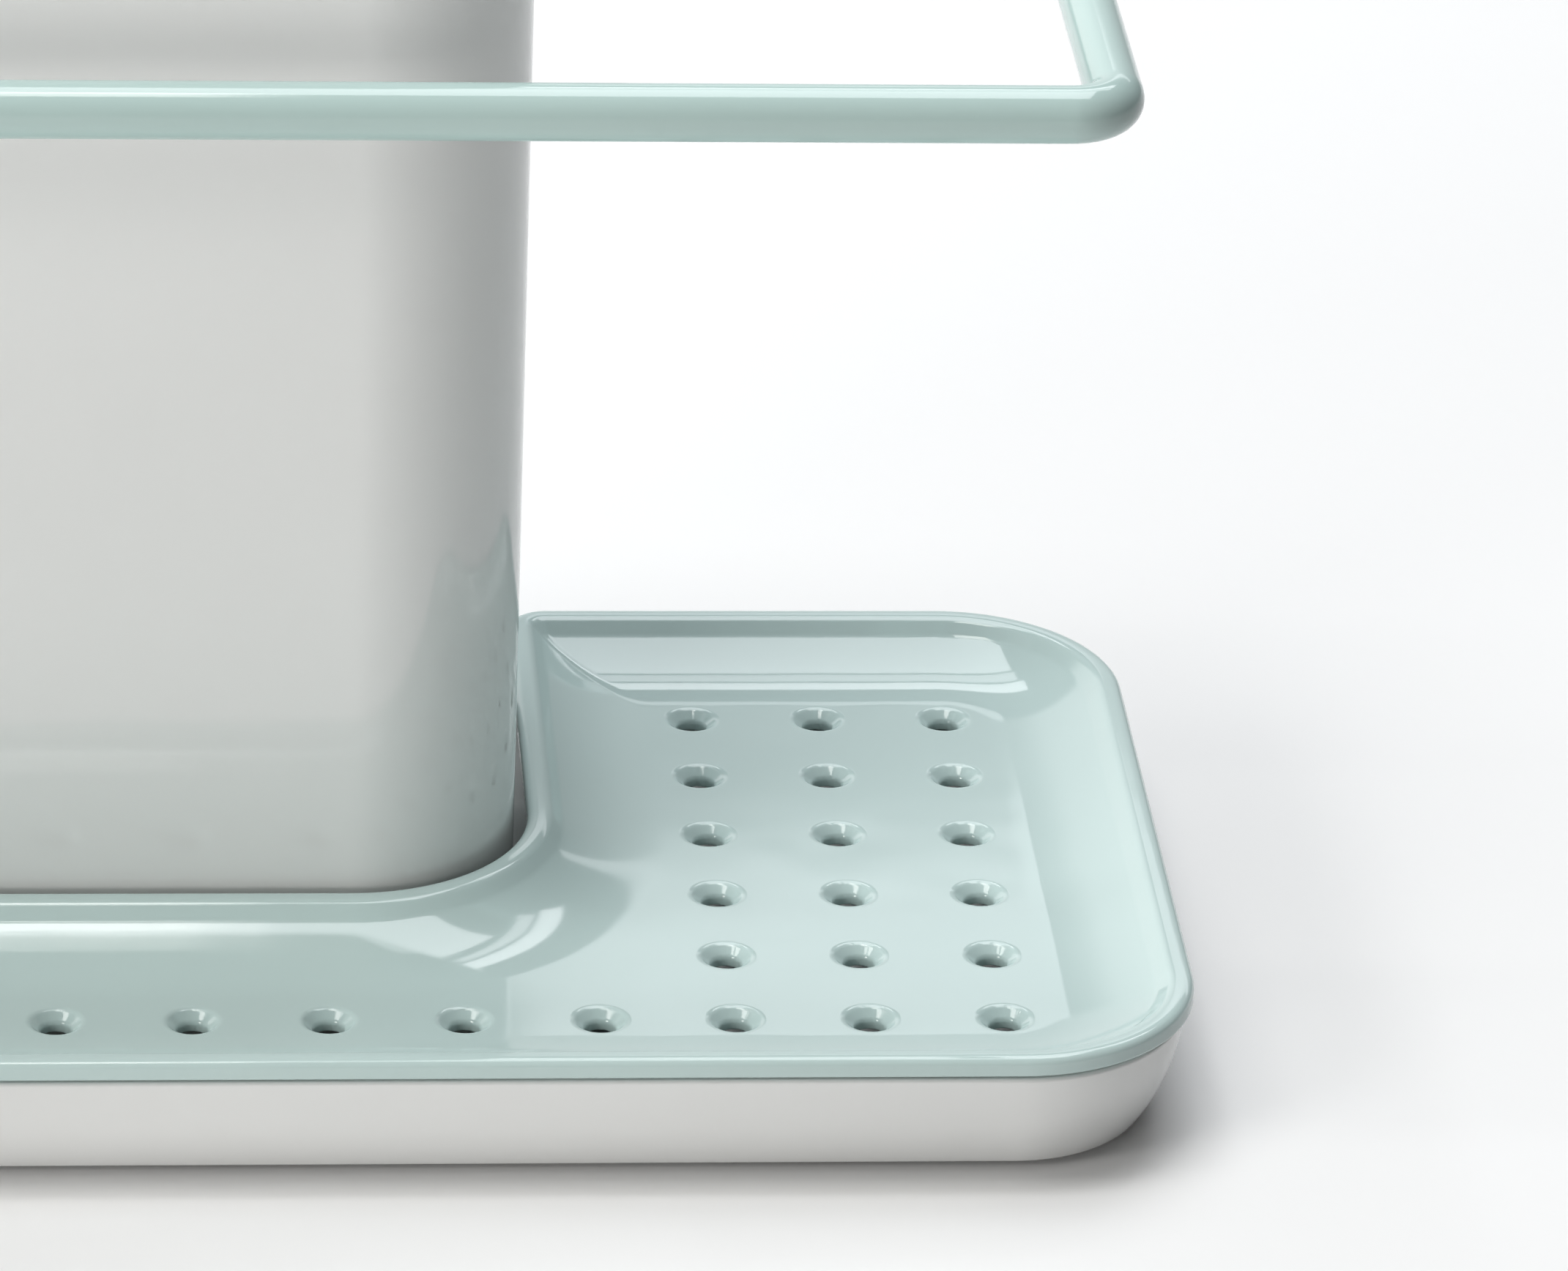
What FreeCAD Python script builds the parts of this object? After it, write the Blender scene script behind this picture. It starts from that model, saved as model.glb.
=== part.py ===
import FreeCAD, Part
import math
import os
import Sketcher

# Kitchen sink caddy, in millimetres. +X runs along the caddy, +Y to its back, +Z up.
# The origin lies on the surface it stands on, under the middle of its box.

SIZES = [
    ("tray_length", 309, "length of the tray over its lip"),
    ("tray_depth", 140, "depth of the tray over its lip"),
    ("tray_corner", 25.4, "outer corner radius of the tray in plan"),
    ("rim_top", 20.3, "height of the rim above the ground"),
    ("lip_height", 2.7, "height of the lip that hangs over the base"),
    ("rim_width", 4.6, "width of the rolled rim"),
    ("rim_drop", 1.6, "fall from the rim's top to the start of the dish wall"),
    ("rim_round", 1.2, "rounding of the rim's edges"),
    ("dish_depth", 6.5, "depth of the dish floor below the rim's top"),
    ("slope_run", 11.6, "width in plan of the dish's sloping wall"),
    ("slope_round", 3, "rounding where the sloping wall meets the dish floor"),
    ("tray_wall", 2.3, "wall of the tray"),
    ("notch_gap", 1.8, "gap between the container and the tray's notch"),
    ("notch_mouth_round", 5.8, "rounding where the notch meets the tray's back edge"),
    ("hole_pitch", 18.4, "distance between drain funnels"),
    ("hole_throat", 4.0, "diameter of a funnel's throat"),
    ("hole_flare", 8.2, "diameter of a funnel's flared mouth"),
    ("flare_depth", 1.3, "depth of the flare"),
    ("front_row_inset", 24, "distance of the front row of funnels from the tray's front"),
    ("hole_margin", 3, "least distance of a funnel's mouth from the foot of the dish wall"),
    ("lip_overhang", 1.15, "overhang of the tray's lip past the base"),
    ("seat_gap", 0.8, "gap between the tray's underside and the base's wall"),
    ("base_wall", 2.2, "wall of the base"),
    ("base_floor", 2.2, "floor of the base"),
    ("base_swell", 29, "radius of the base wall's bowed profile"),
    ("base_edge_round", 1.2, "rounding of the base's lower edge"),
    ("collar_wall", 1.0, "wall of the collar round the container's foot"),
    ("collar_gap", 0.4, "gap between the collar and the container"),
    ("collar_drop", 1.0, "top of the collar below the rim's top"),
    ("weep_width", 14, "width of a drain gap through the collar"),
    ("weep_height", 4, "height of a drain gap through the collar"),
    ("weep_pitch", 36, "distance between the collar's drain gaps"),
    ("weep_count", 3, "drain gaps through the collar"),
    ("stand_height", 2, "height of the ribs that the container stands on"),
    ("stand_width", 5, "width of a rib"),
    ("stand_length", 50, "length of a rib"),
    ("stand_pitch", 36, "distance between the ribs"),
    ("stand_count", 3, "ribs under the container"),
    ("foot_diameter", 16, "diameter of a foot pad"),
    ("foot_recess", 1.2, "depth of a foot pad's seat in the base"),
    ("foot_proud", 1.2, "height of a foot pad below the base"),
    ("foot_gap", 0.1, "gap round a foot pad in its seat"),
    ("foot_inset_x", 36.5, "distance of a foot pad's middle from the tray's end"),
    ("foot_inset_y", 30, "distance of a foot pad's middle from the tray's front or back"),
    ("foot_round", 0.8, "rounding of a foot pad's lower edge"),
    ("container_length", 128.2, "length of the container"),
    ("container_front_inset", 51.6, "distance of the container's front from the tray's front"),
    ("container_back_inset", 8.4, "distance of the container's back from the tray's back"),
    ("container_corner", 23.5, "corner radius of the container in plan"),
    ("container_top", 205, "height of the container's brim above the ground"),
    ("container_wall", 2.2, "wall of the container"),
    ("container_floor", 2.5, "floor of the container"),
    ("brim_round", 1.0, "rounding of the container's brim"),
    ("drain_slot_width", 4, "width of a drain slot in the container's floor"),
    ("drain_slot_length", 44, "length of a drain slot"),
    ("drain_slot_pitch", 12, "distance between drain slots"),
    ("drain_slot_count", 4, "drain slots in each compartment"),
    ("guide_height", 150, "height of the divider's guide ribs"),
    ("guide_width", 1.6, "width of a guide rib"),
    ("guide_reach", 3.0, "reach of a guide rib from the container's wall"),
    ("divider_wall", 2.0, "thickness of the divider"),
    ("divider_height", 160, "height of the divider"),
    ("divider_gap", 0.4, "gap round the divider in its guides"),
    ("divider_corner", 10, "rounding of the divider's upper corners"),
    ("grip_width", 30, "width of the divider's finger hole"),
    ("grip_height", 14, "height of the divider's finger hole"),
    ("grip_round", 6.8, "corner rounding of the divider's finger hole"),
    ("grip_drop", 10, "top of the finger hole below the divider's top"),
    ("rail_rod", 7.6, "diameter of the rail's rod"),
    ("rail_height", 146.6, "height of the rail's rod above the ground"),
    ("rail_front_inset", 23.5, "distance of the front bar behind the tray's front"),
    ("rail_side_inset", 17, "distance of a side arm from the tray's end"),
    ("rail_back_inset", 8, "distance of the rear bars ahead of the container's back"),
    ("rail_bend", 6.4, "bend radius of the rod's centre line"),
    ("socket_reach", 8.6, "distance of a socket's axis from the container's side"),
    ("socket_wall", 2.4, "wall round a socket"),
    ("socket_height", 13, "height of a socket boss"),
    ("socket_floor", 2.6, "floor of a socket"),
    ("socket_gap", 0.3, "gap between a rail tip and its socket"),
    ("socket_clear", 0.6, "gap between the socket's mouth and the start of the rod's bend"),
    ("tip_wall", 0.8, "wall of a rail tip"),
    ("tip_floor", 1.5, "thickness of a rail tip's end"),
    ("tip_gap", 0.05, "gap between a rail tip and the rod"),
    ("tip_cover", 8, "length of rod covered by a rail tip"),
]

doc = FreeCAD.newDocument("sink_caddy")
sheet = doc.addObject("Spreadsheet::Sheet", "dim")
for row, (alias, number, note) in enumerate(SIZES, start=1):
    sheet.set(f"A{row}", note)
    sheet.set(f"B{row}", str(number))
    sheet.setAlias(f"B{row}", alias)
doc.recompute()

# Heights and places worked out from the driving sizes
HALF_LENGTH = "dim.tray_length / 2"
HALF_DEPTH = "dim.tray_depth / 2"
LIP_BOTTOM = "(dim.rim_top - dim.lip_height)"
SLOPE_TOP = "(dim.rim_top - dim.rim_drop)"
DISH_FLOOR = "(dim.rim_top - dim.dish_depth)"
TRAY_UNDERSIDE = f"({DISH_FLOOR} - dim.tray_wall)"
SLOPE_FOOT = "(dim.rim_width + dim.slope_run)"
SEAT_INSET = "(dim.lip_overhang + dim.base_wall + dim.seat_gap)"
FRONT_ROW = f"({HALF_DEPTH} - dim.front_row_inset)"
HOLE_INSET = f"({SLOPE_FOOT} + dim.hole_margin + dim.hole_flare / 2)"
BASE_BOTTOM = "dim.foot_proud"
BASE_FLOOR_TOP = "(dim.foot_proud + dim.base_floor)"
BASE_HEIGHT = f"({LIP_BOTTOM} - dim.foot_proud)"
BASE_HALF_LENGTH = f"({HALF_LENGTH} - dim.lip_overhang)"
BASE_HALF_DEPTH = f"({HALF_DEPTH} - dim.lip_overhang)"
BASE_CORNER = "(dim.tray_corner - dim.lip_overhang)"
BASE_FOOT_INSET = f"(dim.base_swell - sqrt(dim.base_swell ^ 2 - {BASE_HEIGHT} ^ 2))"
CONTAINER_BOTTOM = f"({BASE_FLOOR_TOP} + dim.stand_height)"
CONTAINER_FLOOR_TOP = f"({CONTAINER_BOTTOM} + dim.container_floor)"
CONTAINER_HALF = "dim.container_length / 2"
CONTAINER_FRONT = f"({HALF_DEPTH} - dim.container_front_inset)"
CONTAINER_BACK = f"({HALF_DEPTH} - dim.container_back_inset)"
CONTAINER_MIDDLE = f"(({CONTAINER_BACK} - {CONTAINER_FRONT}) / 2)"
NOTCH_HALF = f"({CONTAINER_HALF} + dim.notch_gap)"
LAST_COLUMN = f"floor(({HALF_LENGTH} - {HOLE_INSET}) / dim.hole_pitch)"
FIRST_SIDE_COLUMN = f"ceil(({NOTCH_HALF} + {HOLE_INSET}) / dim.hole_pitch)"
FRONT_ROW_COUNT = f"(2 * {LAST_COLUMN} + 1)"
SIDE_COLUMN_COUNT = f"({LAST_COLUMN} - {FIRST_SIDE_COLUMN} + 1)"
SIDE_ROW_COUNT = f"floor(({HALF_DEPTH} - {HOLE_INSET} + {FRONT_ROW}) / dim.hole_pitch)"
COLLAR_OUT = "(dim.collar_gap + dim.collar_wall)"
RAIL_FRONT = f"({HALF_DEPTH} - dim.rail_front_inset)"
RAIL_ARM = f"({HALF_LENGTH} - dim.rail_side_inset)"
RAIL_BACK = f"({CONTAINER_BACK} - dim.rail_back_inset)"
SOCKET_AXIS = f"({CONTAINER_HALF} + dim.socket_reach)"
SOCKET_TOP = "(dim.rail_height - dim.rail_bend - dim.socket_clear)"
SOCKET_BOTTOM = f"({SOCKET_TOP} - dim.socket_height)"
TIP_BOTTOM = f"({SOCKET_BOTTOM} + dim.socket_floor)"
ROD_END = f"({TIP_BOTTOM} + dim.tip_floor)"
TIP_RADIUS = "(dim.rail_rod / 2 + dim.tip_gap + dim.tip_wall)"
SOCKET_RADIUS = f"({TIP_RADIUS} + dim.socket_gap)"
BOSS_RADIUS = f"({SOCKET_RADIUS} + dim.socket_wall)"


def value(expression):
    """Number that a sheet expression stands for."""
    result = sheet.evalExpression(str(expression))
    return float(getattr(result, "Value", result))


def new_body(label):
    body = doc.addObject("PartDesign::Body", label)
    body.Label = label
    return body


def origin_feature(body, role):
    return next(item for item in body.Origin.OriginFeatures if item.Role == role)


def new_sketch(body, name, role="XY_Plane", offset=None):
    """Sketch on one of the body's own origin planes, moved along the plane's normal."""
    sketch = body.newObject("Sketcher::SketchObject", name)
    sketch.AttachmentSupport = [(origin_feature(body, role), "")]
    sketch.MapMode = "FlatFace"
    if offset is not None:
        sketch.setExpression("AttachmentOffset.Base.z", str(offset))
    return sketch


def hold(sketch, kind, *place, size):
    """Constraint of a sketch whose value is bound to a sheet expression."""
    index = sketch.addConstraint(Sketcher.Constraint(kind, *place, value(size)))
    sketch.setExpression(f"Constraints[{index}]", str(size))


def point(x, y):
    return FreeCAD.Vector(x, y, 0)


def rounded_outline(sketch, half, front, back, radius):
    """Rounded rectangle, centred in X, from front (ahead of the axis) to back (behind it)."""
    h, f, b, r = value(half), value(front), value(back), value(radius)
    first = sketch.GeometryCount
    centres = [(h - r, r - f, -90), (h - r, b - r, 0), (r - h, b - r, 90), (r - h, r - f, 180)]
    sides = [
        (point(r - h, -f), point(h - r, -f)),
        (point(h, r - f), point(h, b - r)),
        (point(h - r, b), point(r - h, b)),
        (point(-h, b - r), point(-h, r - f)),
    ]
    for (start, end), (x, y, angle) in zip(sides, centres):
        sketch.addGeometry(Part.LineSegment(start, end))
        circle = Part.Circle(point(x, y), FreeCAD.Vector(0, 0, 1), r)
        sketch.addGeometry(Part.ArcOfCircle(circle, math.radians(angle), math.radians(angle + 90)))
    for step in range(8):
        following = first + (step + 1) % 8
        sketch.addConstraint(Sketcher.Constraint("Tangent", first + step, 2, following, 1))
    for step, direction in enumerate(("Horizontal", "Vertical", "Horizontal", "Vertical")):
        sketch.addConstraint(Sketcher.Constraint(direction, first + 2 * step))
    for step in range(3):
        sketch.addConstraint(Sketcher.Constraint("Equal", first + 2 * step + 1, first + 2 * step + 3))
    hold(sketch, "DistanceY", first, 1, -1, 1, size=front)
    hold(sketch, "DistanceX", -1, 1, first + 2, 1, size=half)
    hold(sketch, "DistanceY", -1, 1, first + 4, 1, size=back)
    hold(sketch, "DistanceX", first + 6, 1, -1, 1, size=half)
    hold(sketch, "Radius", first + 1, size=radius)


def box_outline(sketch, left, right, low, high):
    """Plain rectangle; each side is bound to its own place, signed from the sketch's origin."""
    x0, x1, y0, y1 = value(left), value(right), value(low), value(high)
    first = sketch.GeometryCount
    corners = [point(x0, y0), point(x1, y0), point(x1, y1), point(x0, y1)]
    for step in range(4):
        sketch.addGeometry(Part.LineSegment(corners[step], corners[(step + 1) % 4]))
    for step in range(4):
        following = first + (step + 1) % 4
        sketch.addConstraint(Sketcher.Constraint("Coincident", first + step, 2, following, 1))
    for step, direction in enumerate(("Horizontal", "Vertical", "Horizontal", "Vertical")):
        sketch.addConstraint(Sketcher.Constraint(direction, first + step))
    hold(sketch, "DistanceX", -1, 1, first, 1, size=left)
    hold(sketch, "DistanceX", -1, 1, first, 2, size=right)
    hold(sketch, "DistanceY", -1, 1, first, 1, size=low)
    hold(sketch, "DistanceY", -1, 1, first + 2, 1, size=high)


def disc(sketch, x, y, radius):
    circle = Part.Circle(point(value(x), value(y)), FreeCAD.Vector(0, 0, 1), value(radius))
    index = sketch.addGeometry(circle)
    hold(sketch, "DistanceX", -1, 1, index, 3, size=x)
    hold(sketch, "DistanceY", -1, 1, index, 3, size=y)
    hold(sketch, "Radius", index, size=radius)


def polyline(sketch, corners):
    """Closed polygon whose corners are pairs of sheet expressions."""
    first = sketch.GeometryCount
    places = [point(value(x), value(y)) for x, y in corners]
    count = len(corners)
    for step in range(count):
        sketch.addGeometry(Part.LineSegment(places[step], places[(step + 1) % count]))
    for step in range(count):
        following = first + (step + 1) % count
        sketch.addConstraint(Sketcher.Constraint("Coincident", first + step, 2, following, 1))
    for step, (x, y) in enumerate(corners):
        hold(sketch, "DistanceX", -1, 1, first + step, 1, size=x)
        hold(sketch, "DistanceY", -1, 1, first + step, 1, size=y)


def pad(body, name, sketch, length, reverse=False):
    feature = body.newObject("PartDesign::Pad", name)
    feature.Profile = sketch
    feature.Reversed = reverse
    feature.setExpression("Length", str(length))
    doc.recompute()
    return feature


def pocket(body, name, sketch, length, reverse=False):
    """Cut along the sketch's normal, downwards unless reversed, which has to take material away."""
    before = body.Shape.Volume
    feature = body.newObject("PartDesign::Pocket", name)
    feature.Profile = sketch
    feature.Reversed = reverse
    feature.setExpression("Length", str(length))
    doc.recompute()
    if body.Shape.Volume > before - 1e-3:
        raise RuntimeError(f"{name} cuts nothing")
    return feature


def loft(body, name, kind, sections):
    feature = body.newObject(f"PartDesign::{kind}Loft", name)
    feature.Profile = sections[0]
    feature.Sections = sections[1:]
    feature.Ruled = True
    doc.recompute()
    return feature


def row_of(body, name, original, role, spread, count):
    """Copies of a feature in a line along one of the body's origin axes."""
    feature = body.newObject("PartDesign::LinearPattern", name)
    feature.Originals = [original]
    feature.Direction = (origin_feature(body, role), [""])
    feature.setExpression("Length", str(spread))
    feature.setExpression("Occurrences", str(count))
    body.Tip = feature
    doc.recompute()
    return feature


def round_edges(body, name, radius, wanted):
    """Fillet of the edges of the body's last feature for which wanted(edge) holds."""
    base = body.Tip
    names = [f"Edge{i}" for i, edge in enumerate(base.Shape.Edges, start=1) if wanted(edge)]
    if not names:
        raise RuntimeError(f"{name} finds no edge")
    feature = body.newObject("PartDesign::Fillet", name)
    feature.Base = (base, names)
    feature.setExpression("Radius", str(radius))
    doc.recompute()
    return feature


def lies_at(edge, height):
    """True where the whole edge lies at one height."""
    box = edge.BoundBox
    return abs(box.ZMin - height) < 1e-4 and abs(box.ZMax - height) < 1e-4


def tray_outline(body, name, height, inset):
    sketch = new_sketch(body, name, offset=height)
    length, depth = f"{HALF_LENGTH} - {inset}", f"{HALF_DEPTH} - {inset}"
    rounded_outline(sketch, length, depth, depth, f"dim.tray_corner - {inset}")
    return sketch


def notch_outline(body, name, height, outset):
    """Outline of the notch, grown by outset and run out past the tray's back edge."""
    sketch = new_sketch(body, name, offset=height)
    grown = f"(dim.notch_gap + {outset})"
    radius = f"dim.container_corner + {grown}"
    half, front = f"{CONTAINER_HALF} + {grown}", f"{CONTAINER_FRONT} + {grown}"
    past_back = f"{HALF_DEPTH} + 2 * ({radius})"
    rounded_outline(sketch, half, front, past_back, radius)
    return sketch


def make_dish_space():
    """The hollow of the dish: a sloping basin less the island that rises to the notch's rim."""
    body = new_body("dish_space")
    floor = tray_outline(body, "basin_floor", DISH_FLOOR, SLOPE_FOOT)
    edge = tray_outline(body, "basin_edge", SLOPE_TOP, "dim.rim_width")
    loft(body, "basin", "Additive", [floor, edge])
    mouth = tray_outline(body, "basin_mouth", SLOPE_TOP, "dim.rim_width")
    pad(body, "basin_rise", mouth, "2 * dim.rim_drop")
    island_foot = notch_outline(body, "island_foot", DISH_FLOOR, SLOPE_FOOT)
    island_edge = notch_outline(body, "island_edge", SLOPE_TOP, "dim.rim_width")
    loft(body, "island", "Subtractive", [island_foot, island_edge])
    island_top = notch_outline(body, "island_top", SLOPE_TOP, "dim.rim_width")
    pocket(body, "island_rise", island_top, "2 * dim.rim_drop", reverse=True)
    floor_height = value(DISH_FLOOR)
    round_edges(body, "slope_rounding", "dim.slope_round", lambda edge: lies_at(edge, floor_height))
    return body


def funnel(body, name, column, row):
    """One drain hole: a throat with a flared mouth, cut about its own upright axis."""
    sketch = new_sketch(body, f"{name}_profile", "XZ_Plane", offset=f"-({row})")
    throat, flare = f"{column} + dim.hole_throat / 2", f"{column} + dim.hole_flare / 2"
    below, above = f"{TRAY_UNDERSIDE} - dim.tray_wall", f"{DISH_FLOOR} + dim.flare_depth"
    polyline(sketch, [
        (column, below),
        (throat, below),
        (throat, f"{DISH_FLOOR} - dim.flare_depth"),
        (flare, DISH_FLOOR),
        (flare, above),
        (column, above),
    ])
    before = body.Shape.Volume
    feature = body.newObject("PartDesign::Groove", name)
    feature.Profile = sketch
    feature.ReferenceAxis = (sketch, ["Edge6"])
    feature.Angle = 360
    doc.recompute()
    if body.Shape.Volume > before - 1e-3:
        raise RuntimeError(f"{name} cuts nothing")
    return feature


def make_tray(dish_space):
    body = new_body("draining_tray")
    pad(body, "lip_plate", tray_outline(body, "lip_outline", LIP_BOTTOM, "0"), "dim.lip_height")
    seat = tray_outline(body, "seat_outline", LIP_BOTTOM, SEAT_INSET)
    keel = tray_outline(body, "keel_outline", TRAY_UNDERSIDE, f"({SEAT_INSET} + dim.slope_run)")
    loft(body, "underbody", "Additive", [keel, seat])
    cut = body.newObject("PartDesign::Boolean", "dish")
    cut.setObjects([dish_space])
    cut.Type = "Cut"
    doc.recompute()
    void_low = notch_outline(body, "void_low", TRAY_UNDERSIDE, f"({SEAT_INSET} + dim.slope_run)")
    void_high = notch_outline(body, "void_high", LIP_BOTTOM, SEAT_INSET)
    loft(body, "island_void", "Subtractive", [void_low, void_high])
    notch = notch_outline(body, "notch_outline", "dim.rim_top", "0")
    pocket(body, "notch", notch, "dim.rim_top")
    back, side = value(HALF_DEPTH), value(NOTCH_HALF)

    def notch_mouth(edge):
        box = edge.BoundBox
        upright = box.XLength < 1e-4 and box.YLength < 1e-4
        return upright and abs(box.YMax - back) < 1e-3 and abs(abs(box.XMax) - side) < 1e-3

    round_edges(body, "notch_mouth_rounding", "dim.notch_mouth_round", notch_mouth)
    rim = value("dim.rim_top")
    round_edges(body, "rim_rounding", "dim.rim_round", lambda edge: lies_at(edge, rim))
    spread = f"dim.hole_pitch * ({FRONT_ROW_COUNT} - 1)"
    front = funnel(body, "front_funnel", f"-{spread} / 2", f"-{FRONT_ROW}")
    row_of(body, "front_row", front, "X_Axis", spread, FRONT_ROW_COUNT)
    side_column, side_row = f"dim.hole_pitch * {FIRST_SIDE_COLUMN}", f"dim.hole_pitch - {FRONT_ROW}"
    seed = funnel(body, "side_funnel", side_column, side_row)
    block = body.newObject("PartDesign::MultiTransform", "side_rows")
    block.Originals = [seed]
    steps = []
    for name, role, count in (
        ("side_columns", "X_Axis", SIDE_COLUMN_COUNT),
        ("side_lines", "Y_Axis", SIDE_ROW_COUNT),
    ):
        step = body.newObject("PartDesign::LinearPattern", name)
        step.Direction = (origin_feature(body, role), [""])
        step.setExpression("Length", f"dim.hole_pitch * ({count} - 1)")
        step.setExpression("Occurrences", count)
        steps.append(step)
    mirror = body.newObject("PartDesign::Mirrored", "side_mirror")
    mirror.MirrorPlane = (origin_feature(body, "YZ_Plane"), [""])
    block.Transformations = steps + [mirror]
    body.Tip = block
    doc.recompute()
    return body


def make_base():
    body = new_body("base_reservoir")
    spine = new_sketch(body, "wall_path", offset=LIP_BOTTOM)
    rounded_outline(spine, BASE_HALF_LENGTH, BASE_HALF_DEPTH, BASE_HALF_DEPTH, BASE_CORNER)
    section = new_sketch(body, "wall_section", "YZ_Plane")
    top, bottom = value(LIP_BOTTOM), value(BASE_BOTTOM)
    outside = value(f"-{BASE_HALF_DEPTH}")
    swell, wall = value("dim.base_swell"), value("dim.base_wall")
    centre = point(outside + swell, top)
    dip = top - bottom
    outer_end = math.pi + math.asin(dip / swell)
    inner_end = math.pi + math.asin(dip / (swell - wall))
    outer = Part.ArcOfCircle(Part.Circle(centre, FreeCAD.Vector(0, 0, 1), swell), math.pi, outer_end)
    inner = Part.ArcOfCircle(Part.Circle(centre, FreeCAD.Vector(0, 0, 1), swell - wall), math.pi, inner_end)
    section.addGeometry(outer)
    section.addGeometry(inner)
    section.addGeometry(Part.LineSegment(outer.StartPoint, inner.StartPoint))
    section.addGeometry(Part.LineSegment(outer.EndPoint, inner.EndPoint))
    for place in ((0, 1, 2, 1), (1, 1, 2, 2), (0, 2, 3, 1), (1, 2, 3, 2), (0, 3, 1, 3)):
        section.addConstraint(Sketcher.Constraint("Coincident", *place))
    section.addConstraint(Sketcher.Constraint("Horizontal", 2))
    section.addConstraint(Sketcher.Constraint("Horizontal", 3))
    hold(section, "DistanceX", 0, 1, -1, 1, size=BASE_HALF_DEPTH)
    hold(section, "DistanceY", -1, 1, 0, 1, size=LIP_BOTTOM)
    hold(section, "DistanceY", -1, 1, 0, 3, size=LIP_BOTTOM)
    hold(section, "DistanceY", -1, 1, 0, 2, size=BASE_BOTTOM)
    hold(section, "Radius", 0, size="dim.base_swell")
    hold(section, "Radius", 1, size="dim.base_swell - dim.base_wall")
    sweep = body.newObject("PartDesign::AdditivePipe", "wall")
    sweep.Profile = section
    sweep.Spine = spine
    doc.recompute()
    floor = new_sketch(body, "floor_outline", offset=BASE_BOTTOM)
    inset = f"({BASE_FOOT_INSET} + dim.base_wall / 2)"
    length, depth = f"{BASE_HALF_LENGTH} - {inset}", f"{BASE_HALF_DEPTH} - {inset}"
    rounded_outline(floor, length, depth, depth, f"{BASE_CORNER} - {inset}")
    pad(body, "floor", floor, "dim.base_floor")
    collar = new_sketch(body, "collar_outline", offset=BASE_BOTTOM)
    for out in (COLLAR_OUT, "dim.collar_gap"):
        rounded_outline(
            collar,
            f"{CONTAINER_HALF} + {out}",
            f"{CONTAINER_FRONT} + {out}",
            f"{CONTAINER_BACK} + {out}",
            f"dim.container_corner + {out}",
        )
    pad(body, "collar", collar, "dim.rim_top - dim.collar_drop - dim.foot_proud")
    weep = new_sketch(body, "weep_outline", "XZ_Plane", offset=f"{CONTAINER_FRONT} + 2 * {COLLAR_OUT}")
    side = "dim.weep_pitch * (dim.weep_count - 1) / 2"
    box_outline(
        weep,
        f"-({side}) - dim.weep_width / 2",
        f"-({side}) + dim.weep_width / 2",
        BASE_FLOOR_TOP,
        f"{BASE_FLOOR_TOP} + dim.weep_height",
    )
    gap = pocket(body, "weep", weep, f"2 * {COLLAR_OUT}")
    row_of(body, "weeps", gap, "X_Axis", "dim.weep_pitch * (dim.weep_count - 1)", "dim.weep_count")
    rib = new_sketch(body, "stand_outline", offset=BASE_BOTTOM)
    side = "dim.stand_pitch * (dim.stand_count - 1) / 2"
    box_outline(
        rib,
        f"-({side}) - dim.stand_width / 2",
        f"-({side}) + dim.stand_width / 2",
        f"{CONTAINER_MIDDLE} - dim.stand_length / 2",
        f"{CONTAINER_MIDDLE} + dim.stand_length / 2",
    )
    stand = pad(body, "stand", rib, "dim.base_floor + dim.stand_height")
    row_of(body, "stands", stand, "X_Axis", "dim.stand_pitch * (dim.stand_count - 1)", "dim.stand_count")
    seats = new_sketch(body, "foot_seats", offset=BASE_BOTTOM)
    for x, y, _ in foot_places():
        disc(seats, x, y, "dim.foot_diameter / 2 + dim.foot_gap")
    pocket(body, "foot_seat", seats, "dim.foot_recess", reverse=True)
    bottom = value(BASE_BOTTOM)

    def lower_edge(edge):
        return lies_at(edge, bottom) and not edge.isClosed()

    round_edges(body, "lower_rounding", "dim.base_edge_round", lower_edge)
    return body


def foot_places():
    """Places of the four foot pads, as sheet expressions with the pad's name."""
    x, y = f"({HALF_LENGTH} - dim.foot_inset_x)", f"({HALF_DEPTH} - dim.foot_inset_y)"
    return [
        (f"-{x}", f"-{y}", "foot_front_left"),
        (x, f"-{y}", "foot_front_right"),
        (f"-{x}", y, "foot_rear_left"),
        (x, y, "foot_rear_right"),
    ]


def make_foot(x, y, label):
    body = new_body(label)
    sketch = new_sketch(body, f"{label}_outline")
    disc(sketch, x, y, "dim.foot_diameter / 2")
    pad(body, f"{label}_pad", sketch, "dim.foot_proud + dim.foot_recess")
    round_edges(body, f"{label}_rounding", "dim.foot_round", lambda edge: lies_at(edge, 0))
    return body


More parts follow.
